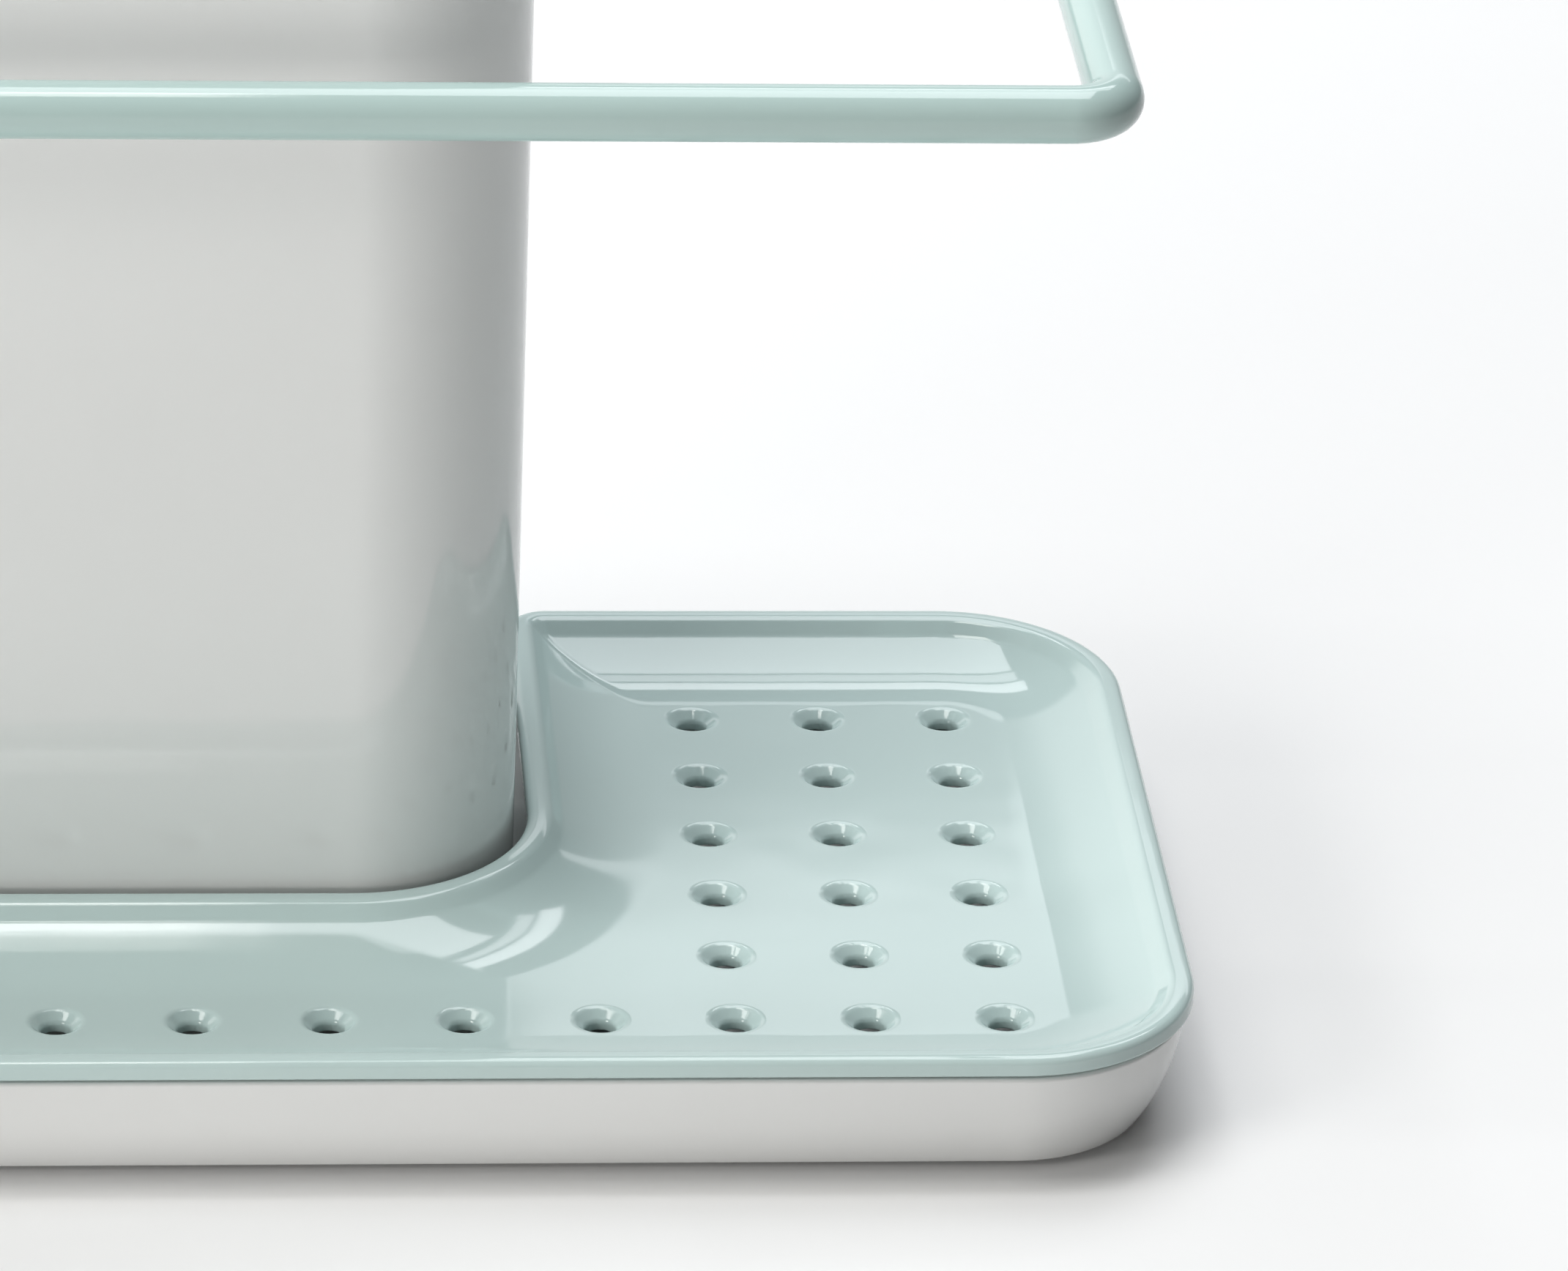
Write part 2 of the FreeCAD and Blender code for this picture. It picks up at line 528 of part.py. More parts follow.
def make_container():
    body = new_body("brush_container")
    outer = new_sketch(body, "container_outline", offset=CONTAINER_BOTTOM)
    rounded_outline(outer, CONTAINER_HALF, CONTAINER_FRONT, CONTAINER_BACK, "dim.container_corner")
    pad(body, "container_block", outer, f"dim.container_top - {CONTAINER_BOTTOM}")
    for sign, label in (("-", "left"), ("", "right")):
        boss = new_sketch(body, f"socket_boss_{label}", offset=SOCKET_BOTTOM)
        disc(boss, f"{sign}{SOCKET_AXIS}", RAIL_BACK, BOSS_RADIUS)
        pad(body, f"boss_{label}", boss, "dim.socket_height")
        web = new_sketch(body, f"socket_web_{label}", offset=SOCKET_BOTTOM)
        near, far = f"{sign}({CONTAINER_HALF} - dim.container_corner)", f"{sign}{SOCKET_AXIS}"
        left, right = (far, near) if sign else (near, far)
        box_outline(web, left, right, f"{RAIL_BACK} - {BOSS_RADIUS}", f"{RAIL_BACK} + {BOSS_RADIUS}")
        pad(body, f"web_{label}", web, "dim.socket_height")
    inner = new_sketch(body, "hollow_outline", offset="dim.container_top")
    rounded_outline(
        inner,
        f"{CONTAINER_HALF} - dim.container_wall",
        f"{CONTAINER_FRONT} - dim.container_wall",
        f"{CONTAINER_BACK} - dim.container_wall",
        "dim.container_corner - dim.container_wall",
    )
    pocket(body, "hollow", inner, f"dim.container_top - {CONTAINER_FLOOR_TOP}")
    for sign, label in (("-", "left"), ("", "right")):
        bore = new_sketch(body, f"socket_bore_{label}", offset=SOCKET_TOP)
        disc(bore, f"{sign}{SOCKET_AXIS}", RAIL_BACK, SOCKET_RADIUS)
        pocket(body, f"bore_{label}", bore, "dim.socket_height - dim.socket_floor")
    channel = "(dim.divider_wall / 2 + dim.divider_gap)"
    for place, (low, high) in {
        "front": (f"-{CONTAINER_FRONT} + dim.container_wall / 2",
                  f"-{CONTAINER_FRONT} + dim.container_wall + dim.guide_reach"),
        "back": (f"{CONTAINER_BACK} - dim.container_wall - dim.guide_reach",
                 f"{CONTAINER_BACK} - dim.container_wall / 2"),
    }.items():
        guides = new_sketch(body, f"guide_outline_{place}", offset=CONTAINER_BOTTOM)
        box_outline(guides, f"-{channel} - dim.guide_width", f"-{channel}", low, high)
        box_outline(guides, channel, f"{channel} + dim.guide_width", low, high)
        pad(body, f"guides_{place}", guides, "dim.container_floor + dim.guide_height")
    reach = "dim.drain_slot_pitch * (dim.drain_slot_count - 1)"
    for sign, label in (("-", "left"), ("", "right")):
        slot = new_sketch(body, f"slot_outline_{label}", offset=CONTAINER_FLOOR_TOP)
        middle = f"{sign}{CONTAINER_HALF} / 2 - {reach} / 2"
        box_outline(
            slot,
            f"{middle} - dim.drain_slot_width / 2",
            f"{middle} + dim.drain_slot_width / 2",
            f"{CONTAINER_MIDDLE} - dim.drain_slot_length / 2",
            f"{CONTAINER_MIDDLE} + dim.drain_slot_length / 2",
        )
        cut = pocket(body, f"slot_{label}", slot, "2 * dim.container_floor")
        row_of(body, f"slots_{label}", cut, "X_Axis", reach, "dim.drain_slot_count")
    top = value("dim.container_top")
    round_edges(body, "brim_rounding", "dim.brim_round", lambda edge: lies_at(edge, top))
    return body


def make_divider():
    """Panel across the container's depth, held at both ends between the guide ribs."""
    body = new_body("container_divider")
    sketch = new_sketch(body, "panel_outline", "YZ_Plane", offset="-dim.divider_wall / 2")
    box_outline(
        sketch,
        f"-{CONTAINER_FRONT} + dim.container_wall + dim.divider_gap",
        f"{CONTAINER_BACK} - dim.container_wall - dim.divider_gap",
        CONTAINER_FLOOR_TOP,
        f"{CONTAINER_FLOOR_TOP} + dim.divider_height",
    )
    pad(body, "panel", sketch, "dim.divider_wall")
    top = value(f"{CONTAINER_FLOOR_TOP} + dim.divider_height")

    def upper_corner(edge):
        box = edge.BoundBox
        return lies_at(edge, top) and box.YLength < 1e-4

    round_edges(body, "upper_corners", "dim.divider_corner", upper_corner)
    grip = new_sketch(body, "grip_outline", "YZ_Plane", offset="-dim.divider_wall")
    high = f"{CONTAINER_FLOOR_TOP} + dim.divider_height - dim.grip_drop"
    box_outline(
        grip,
        f"{CONTAINER_MIDDLE} - dim.grip_width / 2",
        f"{CONTAINER_MIDDLE} + dim.grip_width / 2",
        f"{high} - dim.grip_height",
        high,
    )
    pocket(body, "grip", grip, "2 * dim.divider_wall", reverse=True)
    middle = value(CONTAINER_MIDDLE)
    half = value("dim.grip_width") / 2

    def grip_corner(edge):
        box = edge.BoundBox
        along_x = box.YLength < 1e-4 and box.ZLength < 1e-4
        return along_x and abs(abs(box.YMax - middle) - half) < 1e-3 and box.ZMax < top - 1e-3

    round_edges(body, "grip_rounding", "dim.grip_round", grip_corner)
    return body


def bent_path(sketch, corners, radius):
    """Open path of level and upright runs, each corner turned on an arc of the bend radius."""
    places = [point(value(x), value(y)) for x, y in corners]
    bend = value(radius)
    start = places[0]
    for before, corner, after in zip(places, places[1:], places[2:]):
        inward = (before - corner).normalize()
        onward = (after - corner).normalize()
        entry, leave = corner + inward * bend, corner + onward * bend
        centre = entry + onward * bend
        middle = centre + (corner - centre).normalize() * bend
        sketch.addGeometry(Part.LineSegment(start, entry))
        sketch.addGeometry(Part.Arc(entry, middle, leave))
        start = leave
    sketch.addGeometry(Part.LineSegment(start, places[-1]))
    runs = len(corners) - 1
    for run in range(runs - 1):
        line, arc, following = 2 * run, 2 * run + 1, 2 * run + 2
        meets_start = sketch.getPoint(arc, 1).distanceToPoint(sketch.getPoint(line, 2)) < bend / 2
        entry_end, leave_end = (1, 2) if meets_start else (2, 1)
        sketch.addConstraint(Sketcher.Constraint("Tangent", line, 2, arc, entry_end))
        sketch.addConstraint(Sketcher.Constraint("Tangent", arc, leave_end, following, 1))
        hold(sketch, "Radius", arc, size=radius)
    for run in range(runs):
        level = abs(places[run].y - places[run + 1].y) < 1e-6
        sketch.addConstraint(Sketcher.Constraint("Horizontal" if level else "Vertical", 2 * run))
        across = "DistanceY" if level else "DistanceX"
        hold(sketch, across, -1, 1, 2 * run, 1, size=corners[run][1 if level else 0])
        along, axis = ("DistanceX", 0) if level else ("DistanceY", 1)
        if run == 0:
            hold(sketch, along, -1, 1, 0, 1, size=corners[0][axis])
        if run == runs - 1:
            hold(sketch, along, -1, 1, 2 * run, 2, size=corners[-1][axis])


def rod(body, name, path, start):
    """Round rod along a path that sets out along X from the plane at start."""
    section = new_sketch(body, f"{name}_section", "YZ_Plane", offset=start)
    disc(section, RAIL_BACK, "dim.rail_height", "dim.rail_rod / 2")
    sweep = body.newObject("PartDesign::AdditivePipe", name)
    sweep.Profile = section
    sweep.Spine = path
    doc.recompute()


def make_rail():
    """Loop round the front and sides, whose ends turn in at the back and down into the sockets."""
    body = new_body("cloth_rail")
    inner = f"({SOCKET_AXIS} + 2 * dim.rail_bend)"
    loop = new_sketch(body, "loop_path", offset="dim.rail_height")
    bent_path(loop, [
        (f"-{inner}", RAIL_BACK),
        (f"-{RAIL_ARM}", RAIL_BACK),
        (f"-{RAIL_ARM}", f"-{RAIL_FRONT}"),
        (RAIL_ARM, f"-{RAIL_FRONT}"),
        (RAIL_ARM, RAIL_BACK),
        (inner, RAIL_BACK),
    ], "dim.rail_bend")
    rod(body, "loop", loop, f"-{inner}")
    for sign, label in (("-", "left"), ("", "right")):
        drop = new_sketch(body, f"drop_path_{label}", "XZ_Plane", offset=f"-{RAIL_BACK}")
        axis = f"{sign}{SOCKET_AXIS}"
        bent_path(drop, [
            (f"{sign}{inner}", "dim.rail_height"),
            (axis, "dim.rail_height"),
            (axis, ROD_END),
        ], "dim.rail_bend")
        rod(body, f"drop_{label}", drop, f"{sign}{inner}")
    return body


def make_tip(sign, label):
    body = new_body(label)
    axis = f"{sign}{SOCKET_AXIS}"
    outline = new_sketch(body, f"{label}_outline", offset=TIP_BOTTOM)
    disc(outline, axis, RAIL_BACK, TIP_RADIUS)
    pad(body, f"{label}_cap", outline, "dim.tip_floor + dim.tip_cover")
    bore = new_sketch(body, f"{label}_bore", offset=f"{ROD_END} + dim.tip_cover")
    disc(bore, axis, RAIL_BACK, "dim.rail_rod / 2 + dim.tip_gap")
    pocket(body, f"{label}_hollow", bore, "dim.tip_cover")
    bottom = value(TIP_BOTTOM)
    round_edges(body, f"{label}_rounding", "dim.tip_wall", lambda edge: lies_at(edge, bottom))
    return body


dish = make_dish_space()
tray = make_tray(dish)
base = make_base()
feet = [make_foot(*place) for place in foot_places()]
container = make_container()
divider = make_divider()
rail = make_rail()
tips = [make_tip("-", "rail_tip_left"), make_tip("", "rail_tip_right")]
parts = [tray, base, *feet, container, divider, rail, *tips]

doc.recompute()
for item in doc.Objects:
    if "Invalid" in item.State or "Error" in item.State:
        raise RuntimeError(f"{item.Label} failed: {item.State}")
os.makedirs("parts", exist_ok=True)
for part in parts:
    if part.Shape.isNull() or not part.Shape.isValid() or len(part.Shape.Solids) != 1:
        raise RuntimeError(f"{part.Label} is not one valid solid")
    part.Shape.exportStep(f"parts/{part.Label}.step")
    box = part.Shape.BoundBox
    print(part.Label, round(part.Shape.Volume), "mm3", box)
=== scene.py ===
# %% [markdown]
# # Kitchen sink caddy
# The caddy stands beside a sink: a white base catches water, a mint draining tray lies in it, a tall
# white container for brushes stands in the tray's notch, and a mint rail for cloths plugs into the
# container's ears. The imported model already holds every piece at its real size, so this lesson dresses it
# and never moves it.

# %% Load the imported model
import math

import bmesh
import bpy
from mathutils import Matrix, Vector, geometry


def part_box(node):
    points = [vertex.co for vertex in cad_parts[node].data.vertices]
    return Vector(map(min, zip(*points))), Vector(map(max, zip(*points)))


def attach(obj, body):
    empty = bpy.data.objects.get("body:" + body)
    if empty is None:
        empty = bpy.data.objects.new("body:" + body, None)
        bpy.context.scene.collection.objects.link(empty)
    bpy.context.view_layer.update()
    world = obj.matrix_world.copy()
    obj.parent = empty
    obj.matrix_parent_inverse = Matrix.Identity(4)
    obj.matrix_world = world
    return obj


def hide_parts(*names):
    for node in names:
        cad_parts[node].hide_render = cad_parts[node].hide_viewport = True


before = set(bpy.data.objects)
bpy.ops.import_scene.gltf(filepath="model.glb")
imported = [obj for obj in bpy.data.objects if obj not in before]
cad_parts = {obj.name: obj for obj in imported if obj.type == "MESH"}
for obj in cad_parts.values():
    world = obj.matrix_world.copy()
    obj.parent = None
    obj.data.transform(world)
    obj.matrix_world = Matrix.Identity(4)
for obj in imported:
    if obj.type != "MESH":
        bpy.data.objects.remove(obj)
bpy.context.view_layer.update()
MM = 0.001


# %% [markdown]
# ## Measures
# Each piece takes its outer size from the node it dresses. What a box can't tell, such as a wall, a
# rounding or the place of a drain hole, is a named value in millimetres beside the piece that needs it.

# %% Read boxes in millimetres
def box_mm(node):
    low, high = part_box(node)
    return low / MM, high / MM


tray_low, tray_high = box_mm("draining_tray")
base_low, base_high = box_mm("base_reservoir")
pot_low, pot_high = box_mm("brush_container")
panel_low, panel_high = box_mm("container_divider")
rail_low, rail_high = box_mm("cloth_rail")
tip_low, tip_high = box_mm("rail_tip_right")
print("tray", tray_low, tray_high, "container", pot_low, pot_high)

# %% [markdown]
# ## Mesh helpers
# Moulded plastic is a profile carried round a plan outline, so three small helpers make nearly everything:
# one rounds the corners of a profile, one draws a rounded outline, and one stretches faces between
# outlines. A flat floor with holes is filled with triangles, because a single face can't have openings.

# %% Round a profile's corners
ROUND_STEPS, LEAST_REACH = 6, 1e-5


def soften(corners, steps=ROUND_STEPS):
    """Open profile through corners (across, height, radius), each turned on an arc of its radius."""
    points = [Vector(corners[0][:2])]
    for before, here, after in zip(corners, corners[1:], corners[2:]):
        corner, radius = Vector(here[:2]), here[2]
        inward = (Vector(before[:2]) - corner).normalized()
        onward = (Vector(after[:2]) - corner).normalized()
        turn = math.pi - inward.angle(onward)
        reach = radius * math.tan(turn / 2)
        if reach < LEAST_REACH:
            points.append(corner)
            continue
        centre = corner + (inward + onward).normalized() * radius / math.cos(turn / 2)
        first, last = corner + inward * reach - centre, corner + onward * reach - centre
        for step in range(steps + 1):
            part = turn * step / steps
            points.append(centre + (first * math.sin(turn - part) + last * math.sin(part)) / math.sin(turn))
    points.append(Vector(corners[-1][:2]))
    return points


print("one rounded corner gives", len(soften([(0, 0, 0), (0, 2, 1), (2, 2, 0)])), "points")


# %% Draw outlines and stretch faces between them
CORNER_STEPS = 24


def arc(cx, cy, radius, start, end, steps):
    """Points of a circle's arc, both ends included, with its angles in degrees."""
    angles = [math.radians(start + (end - start) * step / steps) for step in range(steps + 1)]
    return [Vector((cx + radius * math.cos(a), cy + radius * math.sin(a))) for a in angles]


def run(start, end, parts):
    """Points inside a straight run, its ends left out."""
    return [start.lerp(end, part / parts) for part in range(1, parts)]


def rounded_loop(half, front, back, radius, inset=0):
    """Plan of a rounded rectangle, drawn in by inset."""
    x, y_front, y_back = half - radius, front + radius, back - radius
    quarters = [(x, y_front, -90), (x, y_back, 0), (-x, y_back, 90), (-x, y_front, 180)]
    return [p for cx, cy, a in quarters for p in arc(cx, cy, radius - inset, a, a + 90, CORNER_STEPS)]


def ring(mesh, loop, height):
    return [mesh.verts.new((p.x * MM, p.y * MM, height * MM)) for p in loop]


def skin(mesh, rings):
    for below, above in zip(rings, rings[1:]):
        count = len(below)
        for i in range(count):
            j = (i + 1) % count
            mesh.faces.new((below[i], below[j], above[j], above[i]))


def lathe(mesh, profile, sides, x=0, y=0):
    """Surface turned about an upright axis; profile points are (radius, height)."""
    rings = [ring(mesh, arc(x, y, radius, 0, 360, sides)[:-1], height) for radius, height in profile]
    skin(mesh, rings)
    return rings


print("a rounded outline has", 4 * (CORNER_STEPS + 1), "points")

# %% Fill a flat outline that has holes
WELD = 1e-7


def fill(mesh, outline, holes=()):
    """Triangles inside an outline of verts, left open inside each convex hole."""
    verts, edges, owner = [], [], []
    for index, loop in enumerate([outline, *holes]):
        start, count = len(verts), len(loop)
        edges += [(start + i, start + (i + 1) % count) for i in range(count)]
        verts += loop
        owner += [index] * count
    points = [vert.co.xy / MM for vert in verts]
    inside = 1
    _, _, faces, origin, _, _ = geometry.delaunay_2d_cdt(points, edges, [], inside, WELD)
    for face in faces:
        corners = [origin[corner][0] for corner in face]
        loops = {owner[corner] for corner in corners}
        if len(loops) > 1 or loops == {0}:
            mesh.faces.new([verts[corner] for corner in corners])


# %% Turn a mesh into an object
def new_object(name, mesh):
    """Object of a mesh whose coincident points are welded and whose faces look outwards."""
    bmesh.ops.remove_doubles(mesh, verts=mesh.verts, dist=WELD)
    bmesh.ops.recalc_face_normals(mesh, faces=mesh.faces)
    data = bpy.data.meshes.new(name)
    mesh.to_mesh(data)
    mesh.free()
    obj = bpy.data.objects.new(name, data)
    bpy.context.scene.collection.objects.link(obj)
    return obj


def bake(obj):
    """Makes the result of an object's modifiers its plain mesh."""
    depsgraph = bpy.context.evaluated_depsgraph_get()
    data = bpy.data.meshes.new_from_object(obj.evaluated_get(depsgraph))
    before = obj.data
    obj.modifiers.clear()
    obj.data = data
    bpy.data.meshes.remove(before)


# %% Join solids
def volume(data):
    """Volume of a closed mesh in cubic millimetres."""
    mesh = bmesh.new()
    mesh.from_mesh(data)
    size = mesh.calc_volume(signed=True) / MM ** 3
    mesh.free()
    return size


def join_tool(obj, tool, operation):
    """Adds a tool solid to an object, or cuts it out, and removes the tool."""
    modifier = obj.modifiers.new("join", "BOOLEAN")
    modifier.operation, modifier.solver, modifier.object = operation, "EXACT", tool
    before = volume(obj.data)
    bake(obj)
    print(obj.name, operation.lower(), tool.name + ":", round(before), "to", round(volume(obj.data)), "mm3")
    bpy.data.objects.remove(tool)


# %% Finish a piece
SMOOTH_ANGLE = math.radians(32)


def finish_piece(obj, material, body, slot, *nodes):
    """Smooth shading that keeps flat faces flat, a material, and the body that the piece rides on."""
    obj.data.shade_smooth()
    obj.data.set_sharp_from_angle(angle=SMOOTH_ANGLE)
    weighted = obj.modifiers.new("flat faces", "WEIGHTED_NORMAL")
    weighted.keep_sharp = True
    bake(obj)
    obj.data.materials.clear()
    obj.data.materials.append(material)
    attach(obj, body)
    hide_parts(*nodes)
    obj.data.calc_loop_triangles()
    size = [round(v / MM, 1) for v in obj.dimensions]
    print(obj.name, "on", body, len(obj.data.loop_triangles), "triangles,", size, "mm")


# %% [markdown]
# ## Plastics
# All the shells are injection moulded. Such plastic is evenly coloured but never perfectly: its shade
# drifts a little over the part, handling leaves patches that are slightly duller, the gloss has a very
# faint ripple that bends reflections, and close up the skin is finely grained. Four noises on Object
# coordinates give that, so nothing depends on a UV map. A high index of refraction makes the white
# container mirror the tray that it stands in.

# %% A moulded finish
DRIFT_NOISE, DULL_NOISE, RIPPLE_NOISE, GRAIN_DETAIL = (16, 2), (38, 4), (55, 1), 2
NOISE_LOW, NOISE_HIGH = 0.3, 0.7
RANGE_LABELS = ("From Min", "From Max", "To Min", "To Max")


def moulded(name, colour, drift, gloss, index, ripple, grain, grain_scale=2600):
    """Moulding whose colour drifts by a share; gloss is (sharp, dull), ripple and grain are heights."""
    material = bpy.data.materials.new(name)
    material.use_nodes = True
    tree = material.node_tree
    shader = tree.nodes["Principled BSDF"]
    shader.inputs["IOR"].default_value = index
    place = tree.nodes.new("ShaderNodeTexCoord")

    def noise(scale, detail):
        node = tree.nodes.new("ShaderNodeTexNoise")
        node.inputs["Scale"].default_value = scale
        node.inputs["Detail"].default_value = detail
        tree.links.new(place.outputs["Object"], node.inputs["Vector"])
        return node.outputs["Fac"]

    shade = tree.nodes.new("ShaderNodeValToRGB")
    low, high = shade.color_ramp.elements
    low.position, high.position = NOISE_LOW, NOISE_HIGH
    low.color = [c * (1 - drift) for c in colour] + [1]
    high.color = [c * (1 + drift) for c in colour] + [1]
    tree.links.new(noise(*DRIFT_NOISE), shade.inputs["Fac"])
    tree.links.new(shade.outputs["Color"], shader.inputs["Base Color"])

    dull = tree.nodes.new("ShaderNodeMapRange")
    for label, value in zip(RANGE_LABELS, (NOISE_LOW, NOISE_HIGH, *gloss)):
        dull.inputs[label].default_value = value
    tree.links.new(noise(*DULL_NOISE), dull.inputs["Value"])
    tree.links.new(dull.outputs["Result"], shader.inputs["Roughness"])

    wave = tree.nodes.new("ShaderNodeBump")
    wave.inputs["Distance"].default_value = ripple * MM
    tree.links.new(noise(*RIPPLE_NOISE), wave.inputs["Height"])
    skin_grain = tree.nodes.new("ShaderNodeBump")
    skin_grain.inputs["Distance"].default_value = grain * MM
    tree.links.new(noise(grain_scale, GRAIN_DETAIL), skin_grain.inputs["Height"])
    tree.links.new(wave.outputs["Normal"], skin_grain.inputs["Normal"])
    tree.links.new(skin_grain.outputs["Normal"], shader.inputs["Normal"])
    print("finish", name, colour)
    return material


# %% Four finishes
MINT, WHITE = (0.535, 0.67, 0.655), (0.79, 0.795, 0.785)
ROD_MINT, PAD_GREY = (0.49, 0.64, 0.615), (0.55, 0.57, 0.56)
mint_plastic = moulded("mint_gloss_plastic", MINT, drift=0.02, gloss=(0.05, 0.09), index=1.6,
                       ripple=0.08, grain=0.002)
white_plastic = moulded("white_gloss_plastic", WHITE, drift=0.012, gloss=(0.04, 0.08), index=1.85,
                        ripple=0.08, grain=0.002)
mint_coat = moulded("mint_coated_rod", ROD_MINT, drift=0.02, gloss=(0.06, 0.1), index=1.6,
                    ripple=0.03, grain=0.004, grain_scale=1300)
soft_grey = moulded("soft_grey_pad", PAD_GREY, drift=0.05, gloss=(0.5, 0.7), index=1.5,
                    ripple=0.05, grain=0.03, grain_scale=1800)

# %% [markdown]
# ## Draining tray
# The tray is one thin moulding: a rim that rolls softly over to the inside, a wall that slopes in a shallow
# hollow curve to a flat floor, and a notch at the back that the container stands in. Every level of it is
# the same outline drawn in by some inset, so the whole shell is one profile (inset, height) carried round
# that outline.

# %% Outline of the tray at an inset
tray_half, tray_back = tray_high.x, tray_high.y
TRAY_CORNER = 25.4
NOTCH_HALF, NOTCH_FRONT, NOTCH_CORNER = 65.9, -20.2, 25.3
MOUTH_ROUND, VALLEY_ROUND = 5.8, 1.4
NOTCH_STEPS, MOUTH_STEPS = 28, 8
BACK_PARTS, SIDE_PARTS, FRONT_PARTS, NOTCH_SIDE_PARTS, NOTCH_FRONT_PARTS = 5, 8, 22, 5, 7


def tray_loop(inset):
    """Plan of the tray drawn in by inset, from the notch's right mouth clockwise round to it again."""
    r_mouth = max(MOUTH_ROUND - inset, VALLEY_ROUND)
    x_mouth, y_mouth = NOTCH_HALF + inset + r_mouth, tray_back - inset - r_mouth
    x, y, r = tray_half - TRAY_CORNER, tray_back - TRAY_CORNER, TRAY_CORNER - inset
    notch_x, notch_y = NOTCH_HALF - NOTCH_CORNER, NOTCH_FRONT + NOTCH_CORNER
    r_notch = NOTCH_CORNER + inset
    stretches = [
        (arc(x_mouth, y_mouth, r_mouth, 180, 90, MOUTH_STEPS), BACK_PARTS),
        (arc(x, y, r, 90, 0, CORNER_STEPS), SIDE_PARTS),
        (arc(x, -y, r, 0, -90, CORNER_STEPS), FRONT_PARTS),
        (arc(-x, -y, r, -90, -180, CORNER_STEPS), SIDE_PARTS),
        (arc(-x, y, r, 180, 90, CORNER_STEPS), BACK_PARTS),
        (arc(-x_mouth, y_mouth, r_mouth, 90, 0, MOUTH_STEPS), NOTCH_SIDE_PARTS),
        (arc(-notch_x, notch_y, r_notch, 180, 270, NOTCH_STEPS), NOTCH_FRONT_PARTS),
        (arc(notch_x, notch_y, r_notch, 270, 360, NOTCH_STEPS), NOTCH_SIDE_PARTS),
    ]
    loop = []
    for index, (curve, parts) in enumerate(stretches):
        following = stretches[(index + 1) % len(stretches)][0]
        loop += curve + run(curve[-1], following[0], parts)
    return loop


print("tray outline has", len(tray_loop(0)), "points")

# %% Profile of the tray from its floor over the rim to its underside
rim_top, underside = tray_high.z, tray_low.z
LIP_BOTTOM, SLOPE_TOP, DISH_FLOOR = 17.6, 18.16, 13.8
RIM_WIDTH, SLOPE_RUN, SLOPE_POWER, SLOPE_STEPS = 5.3, 14.3, 2.1, 14
SEAT_INSET, FLOOR_EDGE = 4.15, RIM_WIDTH + SLOPE_RUN
RIM_FOOT, RIM_FOOT_RISE, RIM_FOOT_ROUND = RIM_WIDTH - 0.1, 0.08, 4.0
ROLL, ROLL_DROP, ROLL_ROUND = RIM_WIDTH - 2.1, 0.05, 2.0
CROWN, CROWN_ROUND = 1.5, 4.0
LIP, LIP_DROP, LIP_ROUND, LIP_EDGE_ROUND, SEAT_ROUND = 0.1, 0.15, 1.15, 0.45, 0.5
SKIRT, SKIRT_DROP, SKIRT_ROUND = SEAT_INSET + 0.3, 1.4, 0.8
BELLY, BELLY_HEIGHT, BELLY_ROUND = 10.0, 13.3, 6
UNDER_TURN, UNDER_ROUND, UNDER_EDGE = FLOOR_EDGE - 1, 4, FLOOR_EDGE + 0.1


def tray_profile():
    """Profile (inset, height) of the shell; its corners are softened."""
    inside = []
    for step in range(SLOPE_STEPS):
        part = step / SLOPE_STEPS
        inside.append((FLOOR_EDGE - SLOPE_RUN * part,
                       DISH_FLOOR + (SLOPE_TOP - DISH_FLOOR) * part ** SLOPE_POWER, 0))
    rim = [
        (RIM_FOOT, SLOPE_TOP + RIM_FOOT_RISE, RIM_FOOT_ROUND),
        (ROLL, rim_top - ROLL_DROP, ROLL_ROUND),
        (CROWN, rim_top, CROWN_ROUND),
        (LIP, rim_top - LIP_DROP, LIP_ROUND),
        (0, LIP_BOTTOM, LIP_EDGE_ROUND),
    ]
    under = [
        (SEAT_INSET, LIP_BOTTOM, SEAT_ROUND),
        (SKIRT, LIP_BOTTOM - SKIRT_DROP, SKIRT_ROUND),
        (BELLY, BELLY_HEIGHT, BELLY_ROUND),
        (UNDER_TURN, underside, UNDER_ROUND),
        (UNDER_EDGE, underside, 0),
    ]
    return soften(inside + rim + under)


print("tray profile has", len(tray_profile()), "points")

# %% [markdown]
# ## Drain funnels
# Forty-five funnels drain the dish: one long row along the front and a block of three by five on each side.
# Copying one funnel by hand would be slow to change, so a Geometry Nodes tree sets it on a grid of points.
# The modifier's own mesh is the one funnel, and the grid's pitch and counts are the tree's inputs.

# %% One funnel
HOLE_PITCH, HOLE_THROAT, HOLE_SIDES = 18.4, 2.0, 36
DIMPLE, BOWL, BOWL_SINK, BOWL_ROUND = 4.3, 3.7, 0.01, 1.4
NECK_FLARE, NECK_DEPTH, NECK_ROUND = 0.1, 1.4, 1.2
DRIP_RING, DRIP_LIP, DRIP_WALL, DRIP_FLARE, DRIP_ROUND, DRIP_FILLET = 3.6, 0.45, 0.75, 0.1, 0.15, 0.4
FUNNEL = [
    (DIMPLE, DISH_FLOOR, 0),
    (BOWL, DISH_FLOOR - BOWL_SINK, BOWL_ROUND),
    (HOLE_THROAT + NECK_FLARE, DISH_FLOOR - NECK_DEPTH, NECK_ROUND),
    (HOLE_THROAT, underside - DRIP_LIP, DRIP_ROUND),
    (HOLE_THROAT + DRIP_WALL, underside - DRIP_LIP, DRIP_ROUND),
    (HOLE_THROAT + DRIP_WALL + DRIP_FLARE, underside, DRIP_FILLET),
    (DRIP_RING, underside, 0),
]


def one_funnel():
    mesh = bmesh.new()
    lathe(mesh, soften(FUNNEL), HOLE_SIDES)
    return new_object("drain_funnels", mesh)


